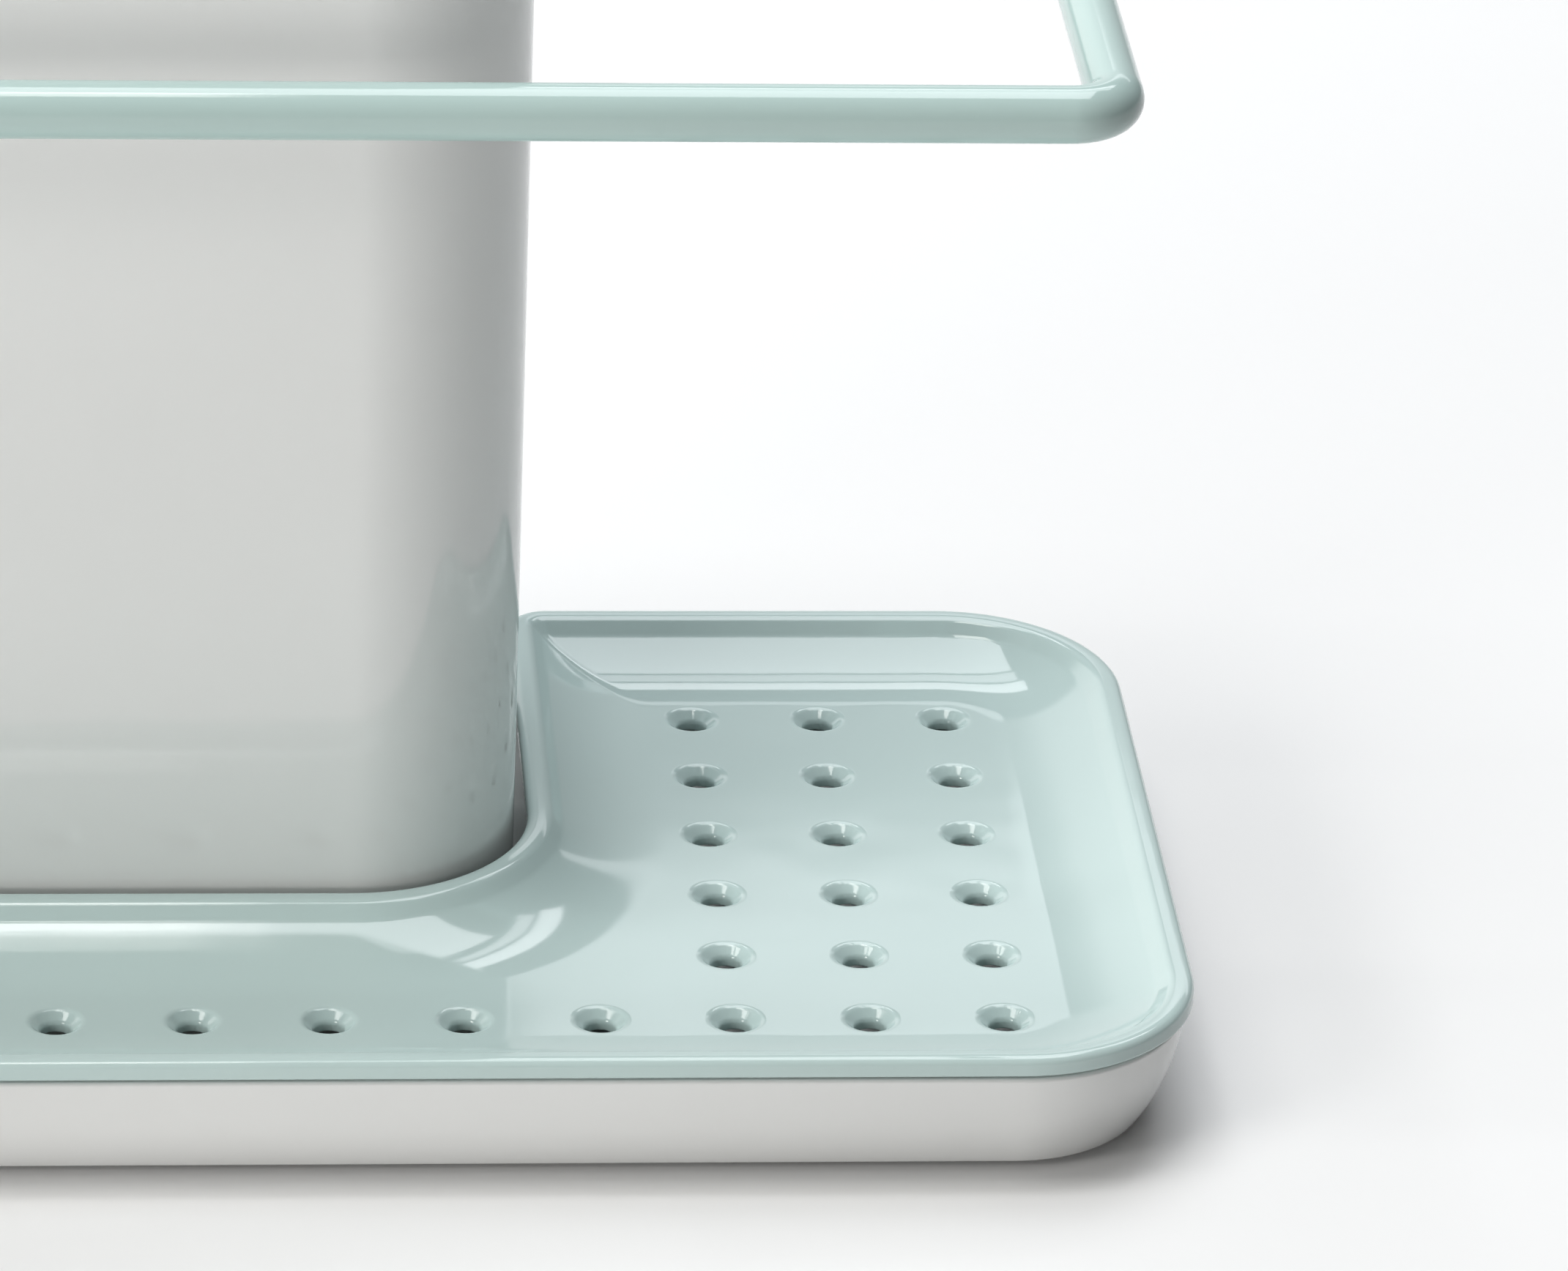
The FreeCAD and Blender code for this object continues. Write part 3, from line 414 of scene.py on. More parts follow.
print("a funnel is", DIMPLE * 2, "mm wide and", round(DISH_FLOOR - underside + DRIP_LIP, 2), "mm deep")


# %% Helpers for node trees
def new_tree(name, inputs):
    """Geometry Nodes tree with a geometry in and out and named number inputs."""
    tree = bpy.data.node_groups.new(name, "GeometryNodeTree")
    tree.interface.new_socket("Geometry", in_out="OUTPUT", socket_type="NodeSocketGeometry")
    tree.interface.new_socket("Geometry", in_out="INPUT", socket_type="NodeSocketGeometry")
    for label, value in inputs.items():
        kind = {int: "NodeSocketInt", float: "NodeSocketFloat"}.get(type(value), "NodeSocketMaterial")
        socket = tree.interface.new_socket(label, in_out="INPUT", socket_type=kind)
        socket.default_value = value
    return tree, tree.nodes.new("NodeGroupInput"), tree.nodes.new("NodeGroupOutput")


def add_node(tree, kind, links=(), **settings):
    """New node; settings are its properties and links are (input name, source socket)."""
    node = tree.nodes.new(kind)
    for label, value in settings.items():
        setattr(node, label, value)
    for label, source in links:
        tree.links.new(source, node.inputs[label])
    return node


def add_math(tree, operation, *sources):
    """Result of a sum whose sources are sockets or plain numbers."""
    node = add_node(tree, "ShaderNodeMath", operation=operation)
    for socket, source in zip(node.inputs, sources):
        if isinstance(source, (int, float)):
            socket.default_value = source
        else:
            tree.links.new(source, socket)
    return node.outputs[0]


def run_tree(obj, tree, values):
    """Gives an object the tree, sets its inputs by identifier and makes the result a plain mesh."""
    modifier = obj.modifiers.new(tree.name, "NODES")
    modifier.node_group = tree
    items = tree.interface.items_tree
    identifiers = {item.name: item.identifier for item in items if item.in_out == "INPUT"}
    for label, value in values.items():
        modifier[identifiers[label]] = value
    bake(obj)
    return obj


# %% A tree that sets copies on a grid
def grid_tree():
    """Copies the incoming mesh on a grid whose first point is at Start X, Start Y."""
    tree, start, end = new_tree("grid of copies", {
        "Pitch": 0.01, "Columns": 1, "Rows": 1, "Start X": 0.0, "Start Y": 0.0, "Material": mint_plastic})
    given = start.outputs
    long_x = add_math(tree, "MULTIPLY", given["Pitch"], add_math(tree, "SUBTRACT", given["Columns"], 1))
    long_y = add_math(tree, "MULTIPLY", given["Pitch"], add_math(tree, "SUBTRACT", given["Rows"], 1))
    grid = add_node(tree, "GeometryNodeMeshGrid", [
        ("Size X", long_x), ("Size Y", long_y),
        ("Vertices X", given["Columns"]), ("Vertices Y", given["Rows"])])
    middle = add_node(tree, "ShaderNodeCombineXYZ", [
        ("X", add_math(tree, "MULTIPLY_ADD", long_x, 0.5, given["Start X"])),
        ("Y", add_math(tree, "MULTIPLY_ADD", long_y, 0.5, given["Start Y"]))])
    moved = add_node(tree, "GeometryNodeTransform", [
        ("Geometry", grid.outputs["Mesh"]), ("Translation", middle.outputs["Vector"])])
    copies = add_node(tree, "GeometryNodeInstanceOnPoints", [
        ("Points", moved.outputs["Geometry"]), ("Instance", given["Geometry"])])
    real = add_node(tree, "GeometryNodeRealizeInstances", [("Geometry", copies.outputs["Instances"])])
    dressed = add_node(tree, "GeometryNodeSetMaterial", [
        ("Geometry", real.outputs["Geometry"]), ("Material", given["Material"])])
    tree.links.new(dressed.outputs["Geometry"], end.inputs["Geometry"])
    return tree


copies_on_grid = grid_tree()
print("tree", copies_on_grid.name, "has", len(copies_on_grid.nodes), "nodes")


# %% Set out the three blocks of funnels
def grid_of(obj, pitch, columns, rows, start_x, start_y, material):
    return run_tree(obj, copies_on_grid, {
        "Pitch": pitch * MM, "Columns": columns, "Rows": rows,
        "Start X": start_x * MM, "Start Y": start_y * MM, "Material": material})


FRONT_ROW_INSET = 24
LAST_COLUMN, FIRST_SIDE_COLUMN, SIDE_ROWS = 7, 5, 5
side_columns = LAST_COLUMN - FIRST_SIDE_COLUMN + 1
front_row = tray_low.y + FRONT_ROW_INSET
blocks = [
    (-LAST_COLUMN, front_row, 2 * LAST_COLUMN + 1, 1),
    (FIRST_SIDE_COLUMN, front_row + HOLE_PITCH, side_columns, SIDE_ROWS),
    (-LAST_COLUMN, front_row + HOLE_PITCH, side_columns, SIDE_ROWS),
]
hole_places = [((first + i) * HOLE_PITCH, y + j * HOLE_PITCH)
               for first, y, columns, rows in blocks for i in range(columns) for j in range(rows)]
funnels = [grid_of(one_funnel(), HOLE_PITCH, columns, rows, first * HOLE_PITCH, y, mint_plastic)
           for first, y, columns, rows in blocks]
print(len(hole_places), "funnels in", len(funnels), "blocks")


# %% Put the tray together
SEAM_WELD = 2e-6


def make_tray():
    mesh = bmesh.new()
    rings = [ring(mesh, tray_loop(inset), height) for inset, height in tray_profile()]
    skin(mesh, rings)
    for edge_ring, radius, height in ((rings[0], DIMPLE, DISH_FLOOR), (rings[-1], DRIP_RING, underside)):
        holes = [ring(mesh, arc(x, y, radius, 0, 360, HOLE_SIDES)[:-1], height) for x, y in hole_places]
        fill(mesh, edge_ring, holes)
    for block in funnels:
        mesh.from_mesh(block.data)
        bpy.data.objects.remove(block)
    bmesh.ops.remove_doubles(mesh, verts=mesh.verts, dist=SEAM_WELD)
    return new_object("tray_moulding", mesh)


tray = make_tray()
finish_piece(tray, mint_plastic, "tray", "mint_plastic", "draining_tray")

# %% [markdown]
# ## Base
# The base is a shallow bath whose wall bows inwards towards the ground, so that it seems to float. The wall
# stops just short of the tray's lip, and that gap is the dark line between mint and white. A collar on the
# floor keeps the container upright, three gaps through the collar let water out to the bath, and ribs hold
# the container's floor off the wet. The bath is a carried profile, and collar, gaps, ribs and foot seats are
# joined to it or cut from it as solids.

# %% Profile of the bath
base_half, base_back, base_bottom = base_high.x, base_high.y, base_low.z
BASE_CORNER, BASE_SWELL, BASE_WALL, BASE_FLOOR = 24.25, 29.0, 2.2, 2.2
BASE_EDGE_ROUND, BATH_ROUND, WALL_TOP_ROUND = 1.2, 1.6, 0.5
SHADOW_GAP, UNDER_RUN, FLOOR_RUN, BOW_STEPS = 0.95, 4, 3, 12
floor_top, wall_top = base_bottom + BASE_FLOOR, LIP_BOTTOM - SHADOW_GAP


def bowed(radius, end_height):
    """Points (inset, height, 0) down the bowed wall, on an arc that starts upright under the tray's lip."""
    last = math.asin((LIP_BOTTOM - end_height) / radius)
    angles = [last * step / BOW_STEPS for step in range(BOW_STEPS + 1)]
    return [(BASE_SWELL - radius * math.cos(a), LIP_BOTTOM - radius * math.sin(a), 0) for a in angles]


def bath_profile():
    """Profile from the underside up the outer wall, over its top and down to the bath's floor."""
    outer, inner = bowed(BASE_SWELL, base_bottom), bowed(BASE_SWELL - BASE_WALL, floor_top)
    foot, heel = outer.pop(), inner.pop()
    top = [(outer[0][0], wall_top, WALL_TOP_ROUND), (inner[0][0], wall_top, WALL_TOP_ROUND)]
    under = [(foot[0] + UNDER_RUN, base_bottom, 0), (foot[0], base_bottom, BASE_EDGE_ROUND)]
    inside = [(heel[0], floor_top, BATH_ROUND), (heel[0] + FLOOR_RUN, floor_top, 0)]
    return soften(under + outer[:0:-1] + top + inner[1:] + inside)


def make_bath():
    mesh = bmesh.new()
    rings = [ring(mesh, rounded_loop(base_half, -base_back, base_back, BASE_CORNER, inset), height)
             for inset, height in bath_profile()]
    skin(mesh, rings)
    mesh.faces.new(rings[0])
    mesh.faces.new(rings[-1])
    return new_object("base_bath", mesh)


base = make_bath()
print("bath profile has", len(bath_profile()), "points")


# %% A block with rounded edges
BEVEL = {"segments": 3, "profile": 0.5, "affect": "EDGES"}


def bar(name, x, y, z, rounding=0.0):
    """Upright block between the pairs of limits x, y and z, with rounded edges."""
    mesh = bmesh.new()
    bmesh.ops.create_cube(mesh, size=1)
    for vert in mesh.verts:
        vert.co = [(low + high) / 2 * MM + side * (high - low) * MM
                   for side, (low, high) in zip(vert.co, (x, y, z))]
    if rounding:
        bmesh.ops.bevel(mesh, geom=mesh.edges[:], offset=rounding * MM, **BEVEL)
    return new_object(name, mesh)


# %% Collar with its gaps, and ribs
POT_HALF, POT_CORNER, POT_WALL, PANEL_GAP = 64.1, 23.5, 2.2, 0.4
COLLAR_GAP, COLLAR_WALL, COLLAR_ROUND, COLLAR_STEPS, SUNK = 0.4, 1.0, 0.35, 3, 0.8
pot_front, pot_back = panel_low.y - POT_WALL - PANEL_GAP, panel_high.y + POT_WALL + PANEL_GAP
pot_middle = (pot_front + pot_back) / 2


def make_collar():
    mesh = bmesh.new()
    out = COLLAR_GAP + COLLAR_WALL
    plan = (POT_HALF + out, pot_front - out, pot_back + out, POT_CORNER + out)
    low, top = floor_top - SUNK, base_high.z
    profile = soften([
        (0, low, 0), (0, top, COLLAR_ROUND),
        (COLLAR_WALL, top, COLLAR_ROUND), (COLLAR_WALL, low, 0)], COLLAR_STEPS)
    rings = [ring(mesh, rounded_loop(*plan, inset), height) for inset, height in profile]
    skin(mesh, rings + rings[:1])
    return new_object("collar", mesh)


WEEP_PITCH, WEEP_WIDTH, WEEP_HEIGHT, WEEP_REACH, WEEP_COUNT = 36, 14, 4, 3, 3
STAND_WIDTH, STAND_LENGTH, STAND_HEIGHT, STAND_ROUND = 5, 50, 2, 0.5
row_start, collar_line = -WEEP_PITCH * (WEEP_COUNT - 1) / 2, pot_front - COLLAR_GAP - COLLAR_WALL / 2
weep = bar("weep", (-WEEP_WIDTH / 2, WEEP_WIDTH / 2), (-WEEP_REACH, WEEP_REACH),
           (floor_top, floor_top + WEEP_HEIGHT))
rib = bar("rib", (-STAND_WIDTH / 2, STAND_WIDTH / 2), (-STAND_LENGTH / 2, STAND_LENGTH / 2),
          (floor_top - SUNK, floor_top + STAND_HEIGHT), STAND_ROUND)
weeps = grid_of(weep, WEEP_PITCH, WEEP_COUNT, 1, row_start, collar_line, white_plastic)
ribs = grid_of(rib, WEEP_PITCH, WEEP_COUNT, 1, row_start, pot_middle, white_plastic)
collar = make_collar()
join_tool(collar, weeps, "DIFFERENCE")

# %% Round seats for the feet
FOOT_RADIUS, FOOT_GAP, FOOT_SEAT, FOOT_SIDES, SEAT_PAST = 8.0, 0.1, 1.2, 48, 1
foot_nodes = {node: box_mm(node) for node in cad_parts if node.startswith("foot_")}


def make_seats():
    mesh = bmesh.new()
    radius = FOOT_RADIUS + FOOT_GAP
    profile = [(radius, base_bottom - SEAT_PAST), (radius, base_bottom + FOOT_SEAT)]
    for low, high in foot_nodes.values():
        for end in lathe(mesh, profile, FOOT_SIDES, (low.x + high.x) / 2, (low.y + high.y) / 2):
            mesh.faces.new(end)
    return new_object("foot_seats", mesh)


foot_seats = make_seats()
print(len(foot_nodes), "foot seats")

# %% Join them to the bath
join_tool(base, collar, "UNION")
join_tool(base, ribs, "UNION")
join_tool(base, foot_seats, "DIFFERENCE")
finish_piece(base, white_plastic, "base", "white_plastic", "base_reservoir")


# %% [markdown]
# ## Foot pads
# Four soft pads sit in round seats under the base. Each is turned from a small profile with a rounded lower
# edge and a shallow hollow in its face, as a moulded pad has.

# %% Turn the pads
PAD_CORE, PAD_RIM, PAD_STEP, PAD_HOLLOW = 0.4, 2.2, 0.4, 0.25
PAD_ROUND, PAD_EDGE_ROUND, PAD_STEPS = 0.3, 0.8, 4


def make_pad(node, low, high):
    inner, hollow = FOOT_RADIUS - PAD_RIM, low.z + PAD_HOLLOW
    profile = soften([
        (PAD_CORE, high.z, 0), (FOOT_RADIUS, high.z, PAD_ROUND), (FOOT_RADIUS, low.z, PAD_EDGE_ROUND),
        (inner, low.z, PAD_ROUND), (inner - PAD_STEP, hollow, PAD_ROUND), (PAD_CORE, hollow, 0)], PAD_STEPS)
    mesh = bmesh.new()
    rings = lathe(mesh, profile, FOOT_SIDES, (low.x + high.x) / 2, (low.y + high.y) / 2)
    mesh.faces.new(rings[0])
    mesh.faces.new(rings[-1])
    pad = new_object(node.replace("foot", "pad"), mesh)
    finish_piece(pad, soft_grey, "base", "soft_pad", node)


for node, (low, high) in foot_nodes.items():
    make_pad(node, low, high)

# %% [markdown]
# ## Brush container
# A tall rounded box with an even wall. Its floor has slots, so that brushes drip into the base, and pairs of
# ribs inside the front and back walls guide the divider. At the rear corners two ears carry the rail's
# sockets.

# %% Walls and floor
BRIM_ROUND, POT_FLOOR, POT_HEEL_ROUND, POT_FLOOR_ROUND, POT_RUN, LEVELS = 1.0, 2.5, 1.2, 2.0, 4, 9
pot_bottom, pot_top = pot_low.z, pot_high.z
pot_floor = pot_bottom + POT_FLOOR


def make_pot():
    levels = [pot_bottom + (pot_top - pot_bottom) * step / (LEVELS + 1) for step in range(1, LEVELS + 1)]
    profile = soften(
        [(POT_RUN, pot_bottom, 0), (0, pot_bottom, POT_HEEL_ROUND)]
        + [(0, z, 0) for z in levels]
        + [(0, pot_top, BRIM_ROUND), (POT_WALL, pot_top, BRIM_ROUND)]
        + [(POT_WALL, z, 0) for z in reversed(levels)]
        + [(POT_WALL, pot_floor, POT_FLOOR_ROUND), (POT_WALL + POT_RUN, pot_floor, 0)])
    mesh = bmesh.new()
    rings = [ring(mesh, rounded_loop(POT_HALF, pot_front, pot_back, POT_CORNER, inset), height)
             for inset, height in profile]
    skin(mesh, rings)
    mesh.faces.new(rings[0])
    mesh.faces.new(rings[-1])
    return new_object("container_shell", mesh)


pot = make_pot()
print("container shell has", len(pot.data.polygons), "faces")

# %% Drain slots and guide ribs
SLOT_WIDTH, SLOT_LENGTH, SLOT_PITCH, SLOT_COUNT, SLOT_STEPS, SLOT_PAST = 4, 44, 12, 4, 10, 2
GUIDE_NEAR, GUIDE_WIDTH, GUIDE_REACH, GUIDE_HEIGHT, GUIDE_ROUND = 1.4, 1.6, 3.0, 150, 0.4


def make_slot():
    mesh = bmesh.new()
    end, radius = SLOT_LENGTH / 2 - SLOT_WIDTH / 2, SLOT_WIDTH / 2
    loop = arc(0, end, radius, 0, 180, SLOT_STEPS) + arc(0, -end, radius, 180, 360, SLOT_STEPS)
    rings = [ring(mesh, loop, height) for height in (pot_bottom - SLOT_PAST, pot_floor + SLOT_PAST)]
    skin(mesh, rings)
    for cap in rings:
        mesh.faces.new(cap)
    return new_object("slot", mesh)


for side in (-1, 1):
    first = side * POT_HALF / 2 - SLOT_PITCH * (SLOT_COUNT - 1) / 2
    slots = grid_of(make_slot(), SLOT_PITCH, SLOT_COUNT, 1, first, pot_middle, white_plastic)
    join_tool(pot, slots, "DIFFERENCE")
    x = sorted((side * GUIDE_NEAR, side * (GUIDE_NEAR + GUIDE_WIDTH)))
    for wall, inward in ((pot_front + POT_WALL, 1), (pot_back - POT_WALL, -1)):
        y = sorted((wall - inward * SUNK, wall + inward * GUIDE_REACH))
        guide = bar("guide", x, y, (pot_floor - SUNK, pot_floor + GUIDE_HEIGHT), GUIDE_ROUND)
        join_tool(pot, guide, "UNION")
print("container has", 2 * SLOT_COUNT, "drain slots and 4 guide ribs")

# %% Ears with sockets
socket_x, socket_y = (tip_low.x + tip_high.x) / 2, (tip_low.y + tip_high.y) / 2
tip_radius = (tip_high.y - tip_low.y) / 2
SOCKET_GAP, SOCKET_WALL, SOCKET_FLOOR, SOCKET_SIDES = 0.3, 2.4, 2.6, 48
EAR_HEIGHT, EAR_FILLET, EAR_RUN, EAR_ROUND, EAR_STEPS = 13.0, 4.0, 1.2, 0.9, 4
EAR_SUNK, WEB_STEP, WEB_ANGLE, WEB_STEPS, WEB_TAIL, BOSS_STEPS = 0.5, 0.8, 4, 12, 1, 24
LEAD_DEPTH, LEAD_FLARE, LEAD_PAST = 0.7, 0.9, 0.2
ear_low = tip_low.z - SOCKET_FLOOR
ear_high = ear_low + EAR_HEIGHT


def ear_loop(side, inset):
    """Plan of an ear: a round boss, a web to the rear corner, and a fillet where the web meets the wall."""
    boss = tip_radius + SOCKET_GAP + SOCKET_WALL - inset
    corner_x, corner_y, middle = POT_HALF - POT_CORNER, pot_back - POT_CORNER, POT_CORNER - POT_WALL / 2
    rear, front, wall = socket_y + boss, socket_y - boss, POT_HALF - EAR_SUNK - inset
    last = math.degrees(math.asin((rear - WEB_STEP - corner_y) / middle))
    inner = arc(corner_x, corner_y, middle, WEB_ANGLE, last, WEB_STEPS)
    round_boss = arc(socket_x, socket_y, boss, 90, -90, BOSS_STEPS)
    turn = (wall, front, EAR_FILLET + inset)
    fillet = soften([(socket_x, front, 0), turn, (wall, corner_y + WEB_TAIL, 0)])[1:]
    loop = [Vector((inner[-1].x, rear))] + round_boss + fillet + inner
    return [Vector((side * p.x, p.y)) for p in loop]


def make_ear(side):
    mesh = bmesh.new()
    profile = soften([
        (EAR_RUN, ear_low, 0), (0, ear_low, EAR_ROUND),
        (0, ear_high, EAR_ROUND), (EAR_RUN, ear_high, 0)], EAR_STEPS)
    rings = [ring(mesh, ear_loop(side, inset), height) for inset, height in profile]
    skin(mesh, rings)
    mesh.faces.new(rings[0])
    mesh.faces.new(rings[-1])
    return new_object("ear", mesh)


def make_bore(side):
    mesh = bmesh.new()
    radius = tip_radius + SOCKET_GAP
    mouth = (radius + LEAD_FLARE, ear_high + LEAD_PAST)
    profile = [(radius, tip_low.z), (radius, ear_high - LEAD_DEPTH), mouth]
    ends = lathe(mesh, profile, SOCKET_SIDES, side * socket_x, socket_y)
    mesh.faces.new(ends[0])
    mesh.faces.new(ends[-1])
    return new_object("bore", mesh)


for side in (-1, 1):
    join_tool(pot, make_ear(side), "UNION")
    join_tool(pot, make_bore(side), "DIFFERENCE")
finish_piece(pot, white_plastic, "container", "white_plastic", "brush_container")

# %% [markdown]
# ## Divider
# A thin panel slides down between the guide ribs and splits the container in two. It lifts out by a finger
# hole. The outline is filled flat with the hole left open, given its thickness, and stood upright.

# %% Cut the panel
PANEL_CORNER, PANEL_FOOT_ROUND, PANEL_EDGE_ROUND, PANEL_STEPS = 10.0, 1.0, 0.5, 10
EDGE_ANGLE = math.radians(60)
UPRIGHT = Matrix(((0, 0, 1, 0), (1, 0, 0, 0), (0, 1, 0, 0), (0, 0, 0, 1)))
GRIP_WIDTH, GRIP_HEIGHT, GRIP_ROUND, GRIP_DROP = 30, 14, 6.8, 10


def panel_loop(left, right, low, high, top_round, foot_round):
    """Rounded rectangle whose upper and lower corners have their own radius."""
    corners = [(right, low, -90, foot_round), (right, high, 0, top_round),
               (left, high, 90, top_round), (left, low, 180, foot_round)]
    loop = []
    for x, y, angle, radius in corners:
        x += radius if x == left else -radius
        y += radius if y == low else -radius
        loop += arc(x, y, radius, angle, angle + 90, PANEL_STEPS)
    return loop


def make_panel():
    thickness = panel_high.x - panel_low.x
    outline = panel_loop(panel_low.y, panel_high.y, panel_low.z, panel_high.z,
                         PANEL_CORNER, PANEL_FOOT_ROUND)
    grip_top = panel_high.z - GRIP_DROP
    grip = panel_loop(pot_middle - GRIP_WIDTH / 2, pot_middle + GRIP_WIDTH / 2,
                      grip_top - GRIP_HEIGHT, grip_top, GRIP_ROUND, GRIP_ROUND)
    mesh = bmesh.new()
    sheets = []
    for height in (-thickness / 2, thickness / 2):
        sheets.append((ring(mesh, outline, height), ring(mesh, grip, height)))
        fill(mesh, sheets[-1][0], [sheets[-1][1]])
    for loop in (0, 1):
        skin(mesh, [sheets[0][loop], sheets[1][loop]])
    bmesh.ops.recalc_face_normals(mesh, faces=mesh.faces)
    rims = [edge for edge in mesh.edges if edge.calc_face_angle(0) > EDGE_ANGLE]
    bmesh.ops.bevel(mesh, geom=rims, offset=PANEL_EDGE_ROUND * MM, **BEVEL)
    bmesh.ops.transform(mesh, matrix=UPRIGHT, verts=mesh.verts)
    return new_object("divider_panel", mesh)


panel = make_panel()
finish_piece(panel, white_plastic, "divider", "white_plastic", "container_divider")

# %% [markdown]
# ## Cloth rail
# The rail is one steel rod, bent six times and coated. Bent rod follows a path, so Geometry Nodes draw it: a
# polyline of its corners becomes a curve, Fillet Curve turns each corner on the bender's radius, and a
# circle is carried along it.

# %% A tree that bends rod
def rod_tree():
    """Carries a circle along the incoming polyline, whose corners are rounded first."""
    tree, start, end = new_tree("bent rod", {
        "Rod Diameter": 0.01, "Bend Radius": 0.01, "Bend Steps": 12, "Sides": 32, "Material": mint_coat})
    given = start.outputs
    curve = add_node(tree, "GeometryNodeMeshToCurve", [("Mesh", given["Geometry"])])
    bends = add_node(tree, "GeometryNodeFilletCurve", [
        ("Curve", curve.outputs["Curve"]), ("Radius", given["Bend Radius"]), ("Count", given["Bend Steps"])],
        mode="POLY")
    radius = add_math(tree, "MULTIPLY", given["Rod Diameter"], 0.5)
    circle = add_node(tree, "GeometryNodeCurvePrimitiveCircle", [
        ("Radius", radius), ("Resolution", given["Sides"])])
    rod = add_node(tree, "GeometryNodeCurveToMesh", [
        ("Curve", bends.outputs["Curve"]), ("Profile Curve", circle.outputs["Curve"])])
    rod.inputs["Fill Caps"].default_value = True
    real = add_node(tree, "GeometryNodeRealizeInstances", [("Geometry", rod.outputs["Mesh"])])
    dressed = add_node(tree, "GeometryNodeSetMaterial", [
        ("Geometry", real.outputs["Geometry"]), ("Material", given["Material"])])
    tree.links.new(dressed.outputs["Geometry"], end.inputs["Geometry"])
    return tree


bent_rod = rod_tree()
print("tree", bent_rod.name, "has", len(bent_rod.nodes), "nodes")

# %% Bend the rail
ROD, BEND, BEND_STEPS, ROD_SIDES, ROD_WELD = 7.6, 6.4, 14, 40, 1e-6
rail_arm, rail_front = rail_high.x - ROD / 2, rail_low.y + ROD / 2
rail_height, rod_end = rail_high.z - ROD / 2, rail_low.z


def make_rail():
    half = [(socket_x, socket_y, rod_end), (socket_x, socket_y, rail_height),
            (rail_arm, socket_y, rail_height), (rail_arm, rail_front, rail_height)]
    corners = [(-x, y, z) for x, y, z in half] + half[::-1]
    mesh = bmesh.new()
    verts = [mesh.verts.new([v * MM for v in corner]) for corner in corners]
    for before, after in zip(verts, verts[1:]):
        mesh.edges.new((before, after))
    rail = new_object("rail_rod", mesh)
    run_tree(rail, bent_rod, {
        "Rod Diameter": ROD * MM, "Bend Radius": BEND * MM,
        "Bend Steps": BEND_STEPS, "Sides": ROD_SIDES, "Material": mint_coat})
    welded = bmesh.new()
    welded.from_mesh(rail.data)
    bmesh.ops.remove_doubles(welded, verts=welded.verts, dist=ROD_WELD)
    bmesh.ops.recalc_face_normals(welded, faces=welded.faces)
    welded.to_mesh(rail.data)
    welded.free()
    return rail


rail = make_rail()
finish_piece(rail, mint_coat, "rail", "mint_coated_rod", "cloth_rail")


# %% [markdown]
# ## Rail tips
# A soft cap on each end of the rod keeps the metal from rattling in its socket. Each cap is turned, with a
# bore that the rod's end goes into.

# %% Turn the tips
TIP_CORE, TIP_GAP, TIP_SIDES, TIP_STEPS = 0.3, 0.05, 40, 4
TIP_BORE_ROUND, TIP_TOP_ROUND, TIP_END_ROUND = 0.2, 0.3, 0.8


def make_tip(side, node):
    bore = ROD / 2 + TIP_GAP
    profile = soften([
        (TIP_CORE, rod_end, 0), (bore, rod_end, 0), (bore, tip_high.z, TIP_BORE_ROUND),
        (tip_radius, tip_high.z, TIP_TOP_ROUND), (tip_radius, tip_low.z, TIP_END_ROUND),
        (TIP_CORE, tip_low.z, 0)], TIP_STEPS)
    mesh = bmesh.new()
    rings = lathe(mesh, profile, TIP_SIDES, side * socket_x, socket_y)
    mesh.faces.new(rings[0])
    mesh.faces.new(rings[-1])
    tip = new_object(node.replace("rail_tip", "socket_cap"), mesh)
    finish_piece(tip, soft_grey, "rail", "soft_pad", node)


for side, node in ((-1, "rail_tip_left"), (1, "rail_tip_right")):
    make_tip(side, node)

# %% [markdown]
# ## Floor and light
# The caddy stands on a plain pale surface in soft light. A big panel and two strips hang overhead, a thin
# panel stands at the right rear, and their edges draw the white bands on the tray's walls. Warmer panels
# at the left and the front, high and low, light the white faces, and the room is brightest at the left
# rear. The floor is white wherever it is seen, but throws less light back towards the right, as if a dark
# screen lay there. That deepens the container's right corner.

# %% Floor
FLOOR_SIZE, SEEN_SHADE, FLOOR_ROUGHNESS, FLOOR_SPECULAR = 6.0, 0.915, 0.9, 0.1
SCREEN_EDGES, BOUNCE_SHADES = (0.05, 0.3), (0.86, 0.34)


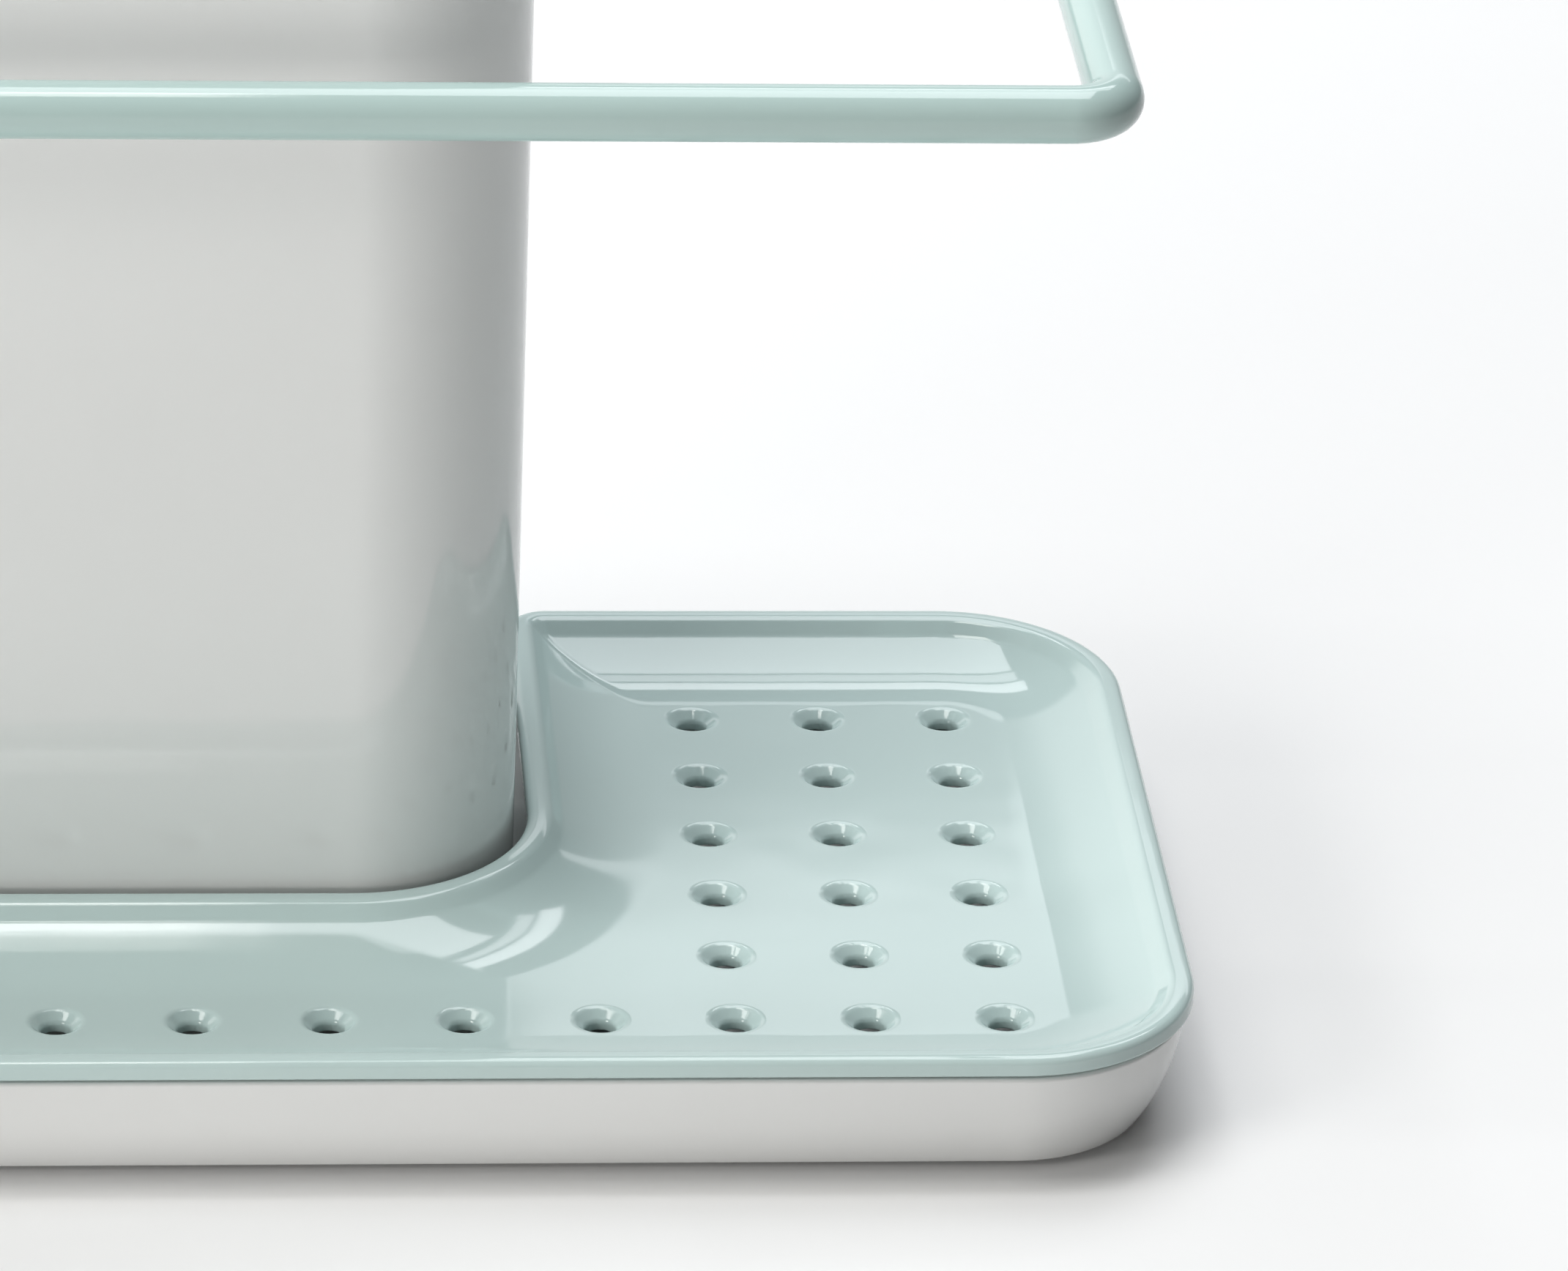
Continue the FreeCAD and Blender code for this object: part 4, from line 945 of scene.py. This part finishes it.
def make_floor():
    """Floor whose shade depends on where it lies and on whether it is seen or only gives light."""
    mesh = bmesh.new()
    bmesh.ops.create_grid(mesh, x_segments=1, y_segments=1, size=FLOOR_SIZE / 2)
    floor = new_object("studio_floor", mesh)
    material = bpy.data.materials.new("pale_floor")
    material.use_nodes = True
    tree = material.node_tree
    shader = tree.nodes["Principled BSDF"]
    ray = add_node(tree, "ShaderNodeLightPath").outputs
    mirrored = add_math(tree, "MAXIMUM", ray["Is Glossy Ray"], ray["Is Transmission Ray"])
    seen = add_math(tree, "MAXIMUM", ray["Is Camera Ray"], mirrored)
    place = add_node(tree, "ShaderNodeTexCoord")
    split = add_node(tree, "ShaderNodeSeparateXYZ", [("Vector", place.outputs["Object"])])
    bounce = add_node(tree, "ShaderNodeMapRange", [("Value", split.outputs["X"])])
    for label, value in zip(RANGE_LABELS, (*SCREEN_EDGES, *BOUNCE_SHADES)):
        bounce.inputs[label].default_value = value
    shade = add_node(tree, "ShaderNodeMapRange", [("Value", seen), ("To Min", bounce.outputs["Result"])])
    shade.inputs["To Max"].default_value = SEEN_SHADE
    tree.links.new(shade.outputs["Result"], shader.inputs["Base Color"])
    shader.inputs["Roughness"].default_value = FLOOR_ROUGHNESS
    shader.inputs["Specular IOR Level"].default_value = FLOOR_SPECULAR
    floor.data.materials.append(material)


make_floor()
print("floor of", FLOOR_SIZE, "m")

# %% Room
ROOM_FADE, ROOM_EDGE, ROOM_EDGE_FADE = 0.6, 0.42, 0.08
ROOM_GLOW = {
    "left front low": 0.2, "right front low": 0.05, "left rear low": 1.45, "right rear low": 0.1,
    "left front high": 0.05, "right front high": 0.12, "left rear high": 0.05, "right rear high": 0.05,
}


def make_world():
    """Room whose brightness is blended between its eight corners."""
    world = bpy.data.worlds.new("studio")
    bpy.context.scene.world = world
    world.use_nodes = True
    tree = world.node_tree
    place = add_node(tree, "ShaderNodeTexCoord")
    split = add_node(tree, "ShaderNodeSeparateXYZ", [("Vector", place.outputs["Generated"])])
    values = list(ROOM_GLOW.values())
    sides, edge = (-ROOM_FADE, ROOM_FADE), (ROOM_EDGE, ROOM_EDGE + ROOM_EDGE_FADE)
    for axis, limits in (("X", sides), ("Y", sides), ("Z", edge)):
        blended = []
        for pair in zip(values[0::2], values[1::2]):
            fade = add_node(tree, "ShaderNodeMapRange", [("Value", split.outputs[axis])])
            for label, value in zip(RANGE_LABELS, (*limits, *pair)):
                if isinstance(value, (int, float)):
                    fade.inputs[label].default_value = value
                else:
                    tree.links.new(value, fade.inputs[label])
            blended.append(fade.outputs["Result"])
        values = blended
    tree.links.new(values[0], tree.nodes["Background"].inputs["Strength"])
    tree.nodes["Background"].inputs["Color"].default_value = (1, 1, 1, 1)


make_world()
print("room is brightest at the", max(ROOM_GLOW, key=ROOM_GLOW.get))


# %% Panels
def add_panel(name, place, target, size, glow, tint):
    """Area lamp whose power follows from its size, so that glow is how bright its face looks."""
    data = bpy.data.lights.new(name, "AREA")
    data.shape = "RECTANGLE"
    data.size, data.size_y = size
    data.energy, data.color = glow * math.pi * size[0] * size[1], tint
    panel_light = bpy.data.objects.new(name, data)
    panel_light.location = place
    aim = Vector(target) - Vector(place)
    panel_light.rotation_euler = aim.to_track_quat("-Z", "Y").to_euler()
    bpy.context.scene.collection.objects.link(panel_light)
    print("panel", name, "at", place, "of", size, "m,", round(data.energy, 2), "W")


COOL, WARM = (0.95, 0.975, 1.0), (1.0, 0.985, 0.955)
for panel_values in (
    ("overhead", (0.14, 0.29, 1.3), (0.14, 0.29, 0), (0.84, 0.8), 4.2, COOL),
    ("second_strip", (0.25, 0.83, 1.3), (0.25, 0.83, 0), (1.1, 0.2), 3.1, COOL),
    ("third_strip", (0.25, 1.12, 1.3), (0.25, 1.12, 0), (1.2, 0.28), 4.3, COOL),
    ("back_right", (0.729, 1.6, 0.9), (0.729, 0, 0.9), (1.14, 0.132), 1.4, COOL),
    ("top_front", (-0.55, -0.2, 1.5), (-0.55, -0.2, 0), (1.2, 0.45), 5.6, WARM),
    ("left_low", (-1.5, -0.6, 0.15), (0, 0, 0.13), (1.2, 0.25), 5.0, WARM),
    ("front_low", (-1.0, -1.5, 0.3), (0, 0, 0.1), (0.9, 0.3), 8.0, WARM),
    ("left_box", (-1.2, -0.95, 0.8), (0, 0, 0.05), (0.45, 0.4), 9.5, WARM),
):
    add_panel(*panel_values)

# %% [markdown]
# ## Camera
# The picture is a close view of the caddy's right half from a little above, taken with a long lens. The
# camera's place and turn are written as a real place in metres and three angles.

# %% Camera
CAMERA_PLACE = (0.0025, -1.0621, 0.5602)
YAW, PITCH, ROLL = -5.286, 25.588, 2.287
LENS, SENSOR, NEAREST = 195.43, 36.0, 0.01


def make_camera():
    data = bpy.data.cameras.new("camera")
    data.sensor_fit, data.sensor_width, data.lens = "HORIZONTAL", SENSOR, LENS
    data.clip_start = NEAREST
    camera = bpy.data.objects.new("camera", data)
    turn = (Matrix.Rotation(math.radians(YAW), 4, "Z")
            @ Matrix.Rotation(math.radians(90 - PITCH), 4, "X")
            @ Matrix.Rotation(math.radians(ROLL), 4, "Z"))
    camera.matrix_world = Matrix.Translation(CAMERA_PLACE) @ turn
    bpy.context.scene.collection.objects.link(camera)
    bpy.context.scene.camera = camera


make_camera()
print("camera at", CAMERA_PLACE, "with a lens of", LENS, "mm")
bpy.context.scene.view_settings.view_transform = "Standard"
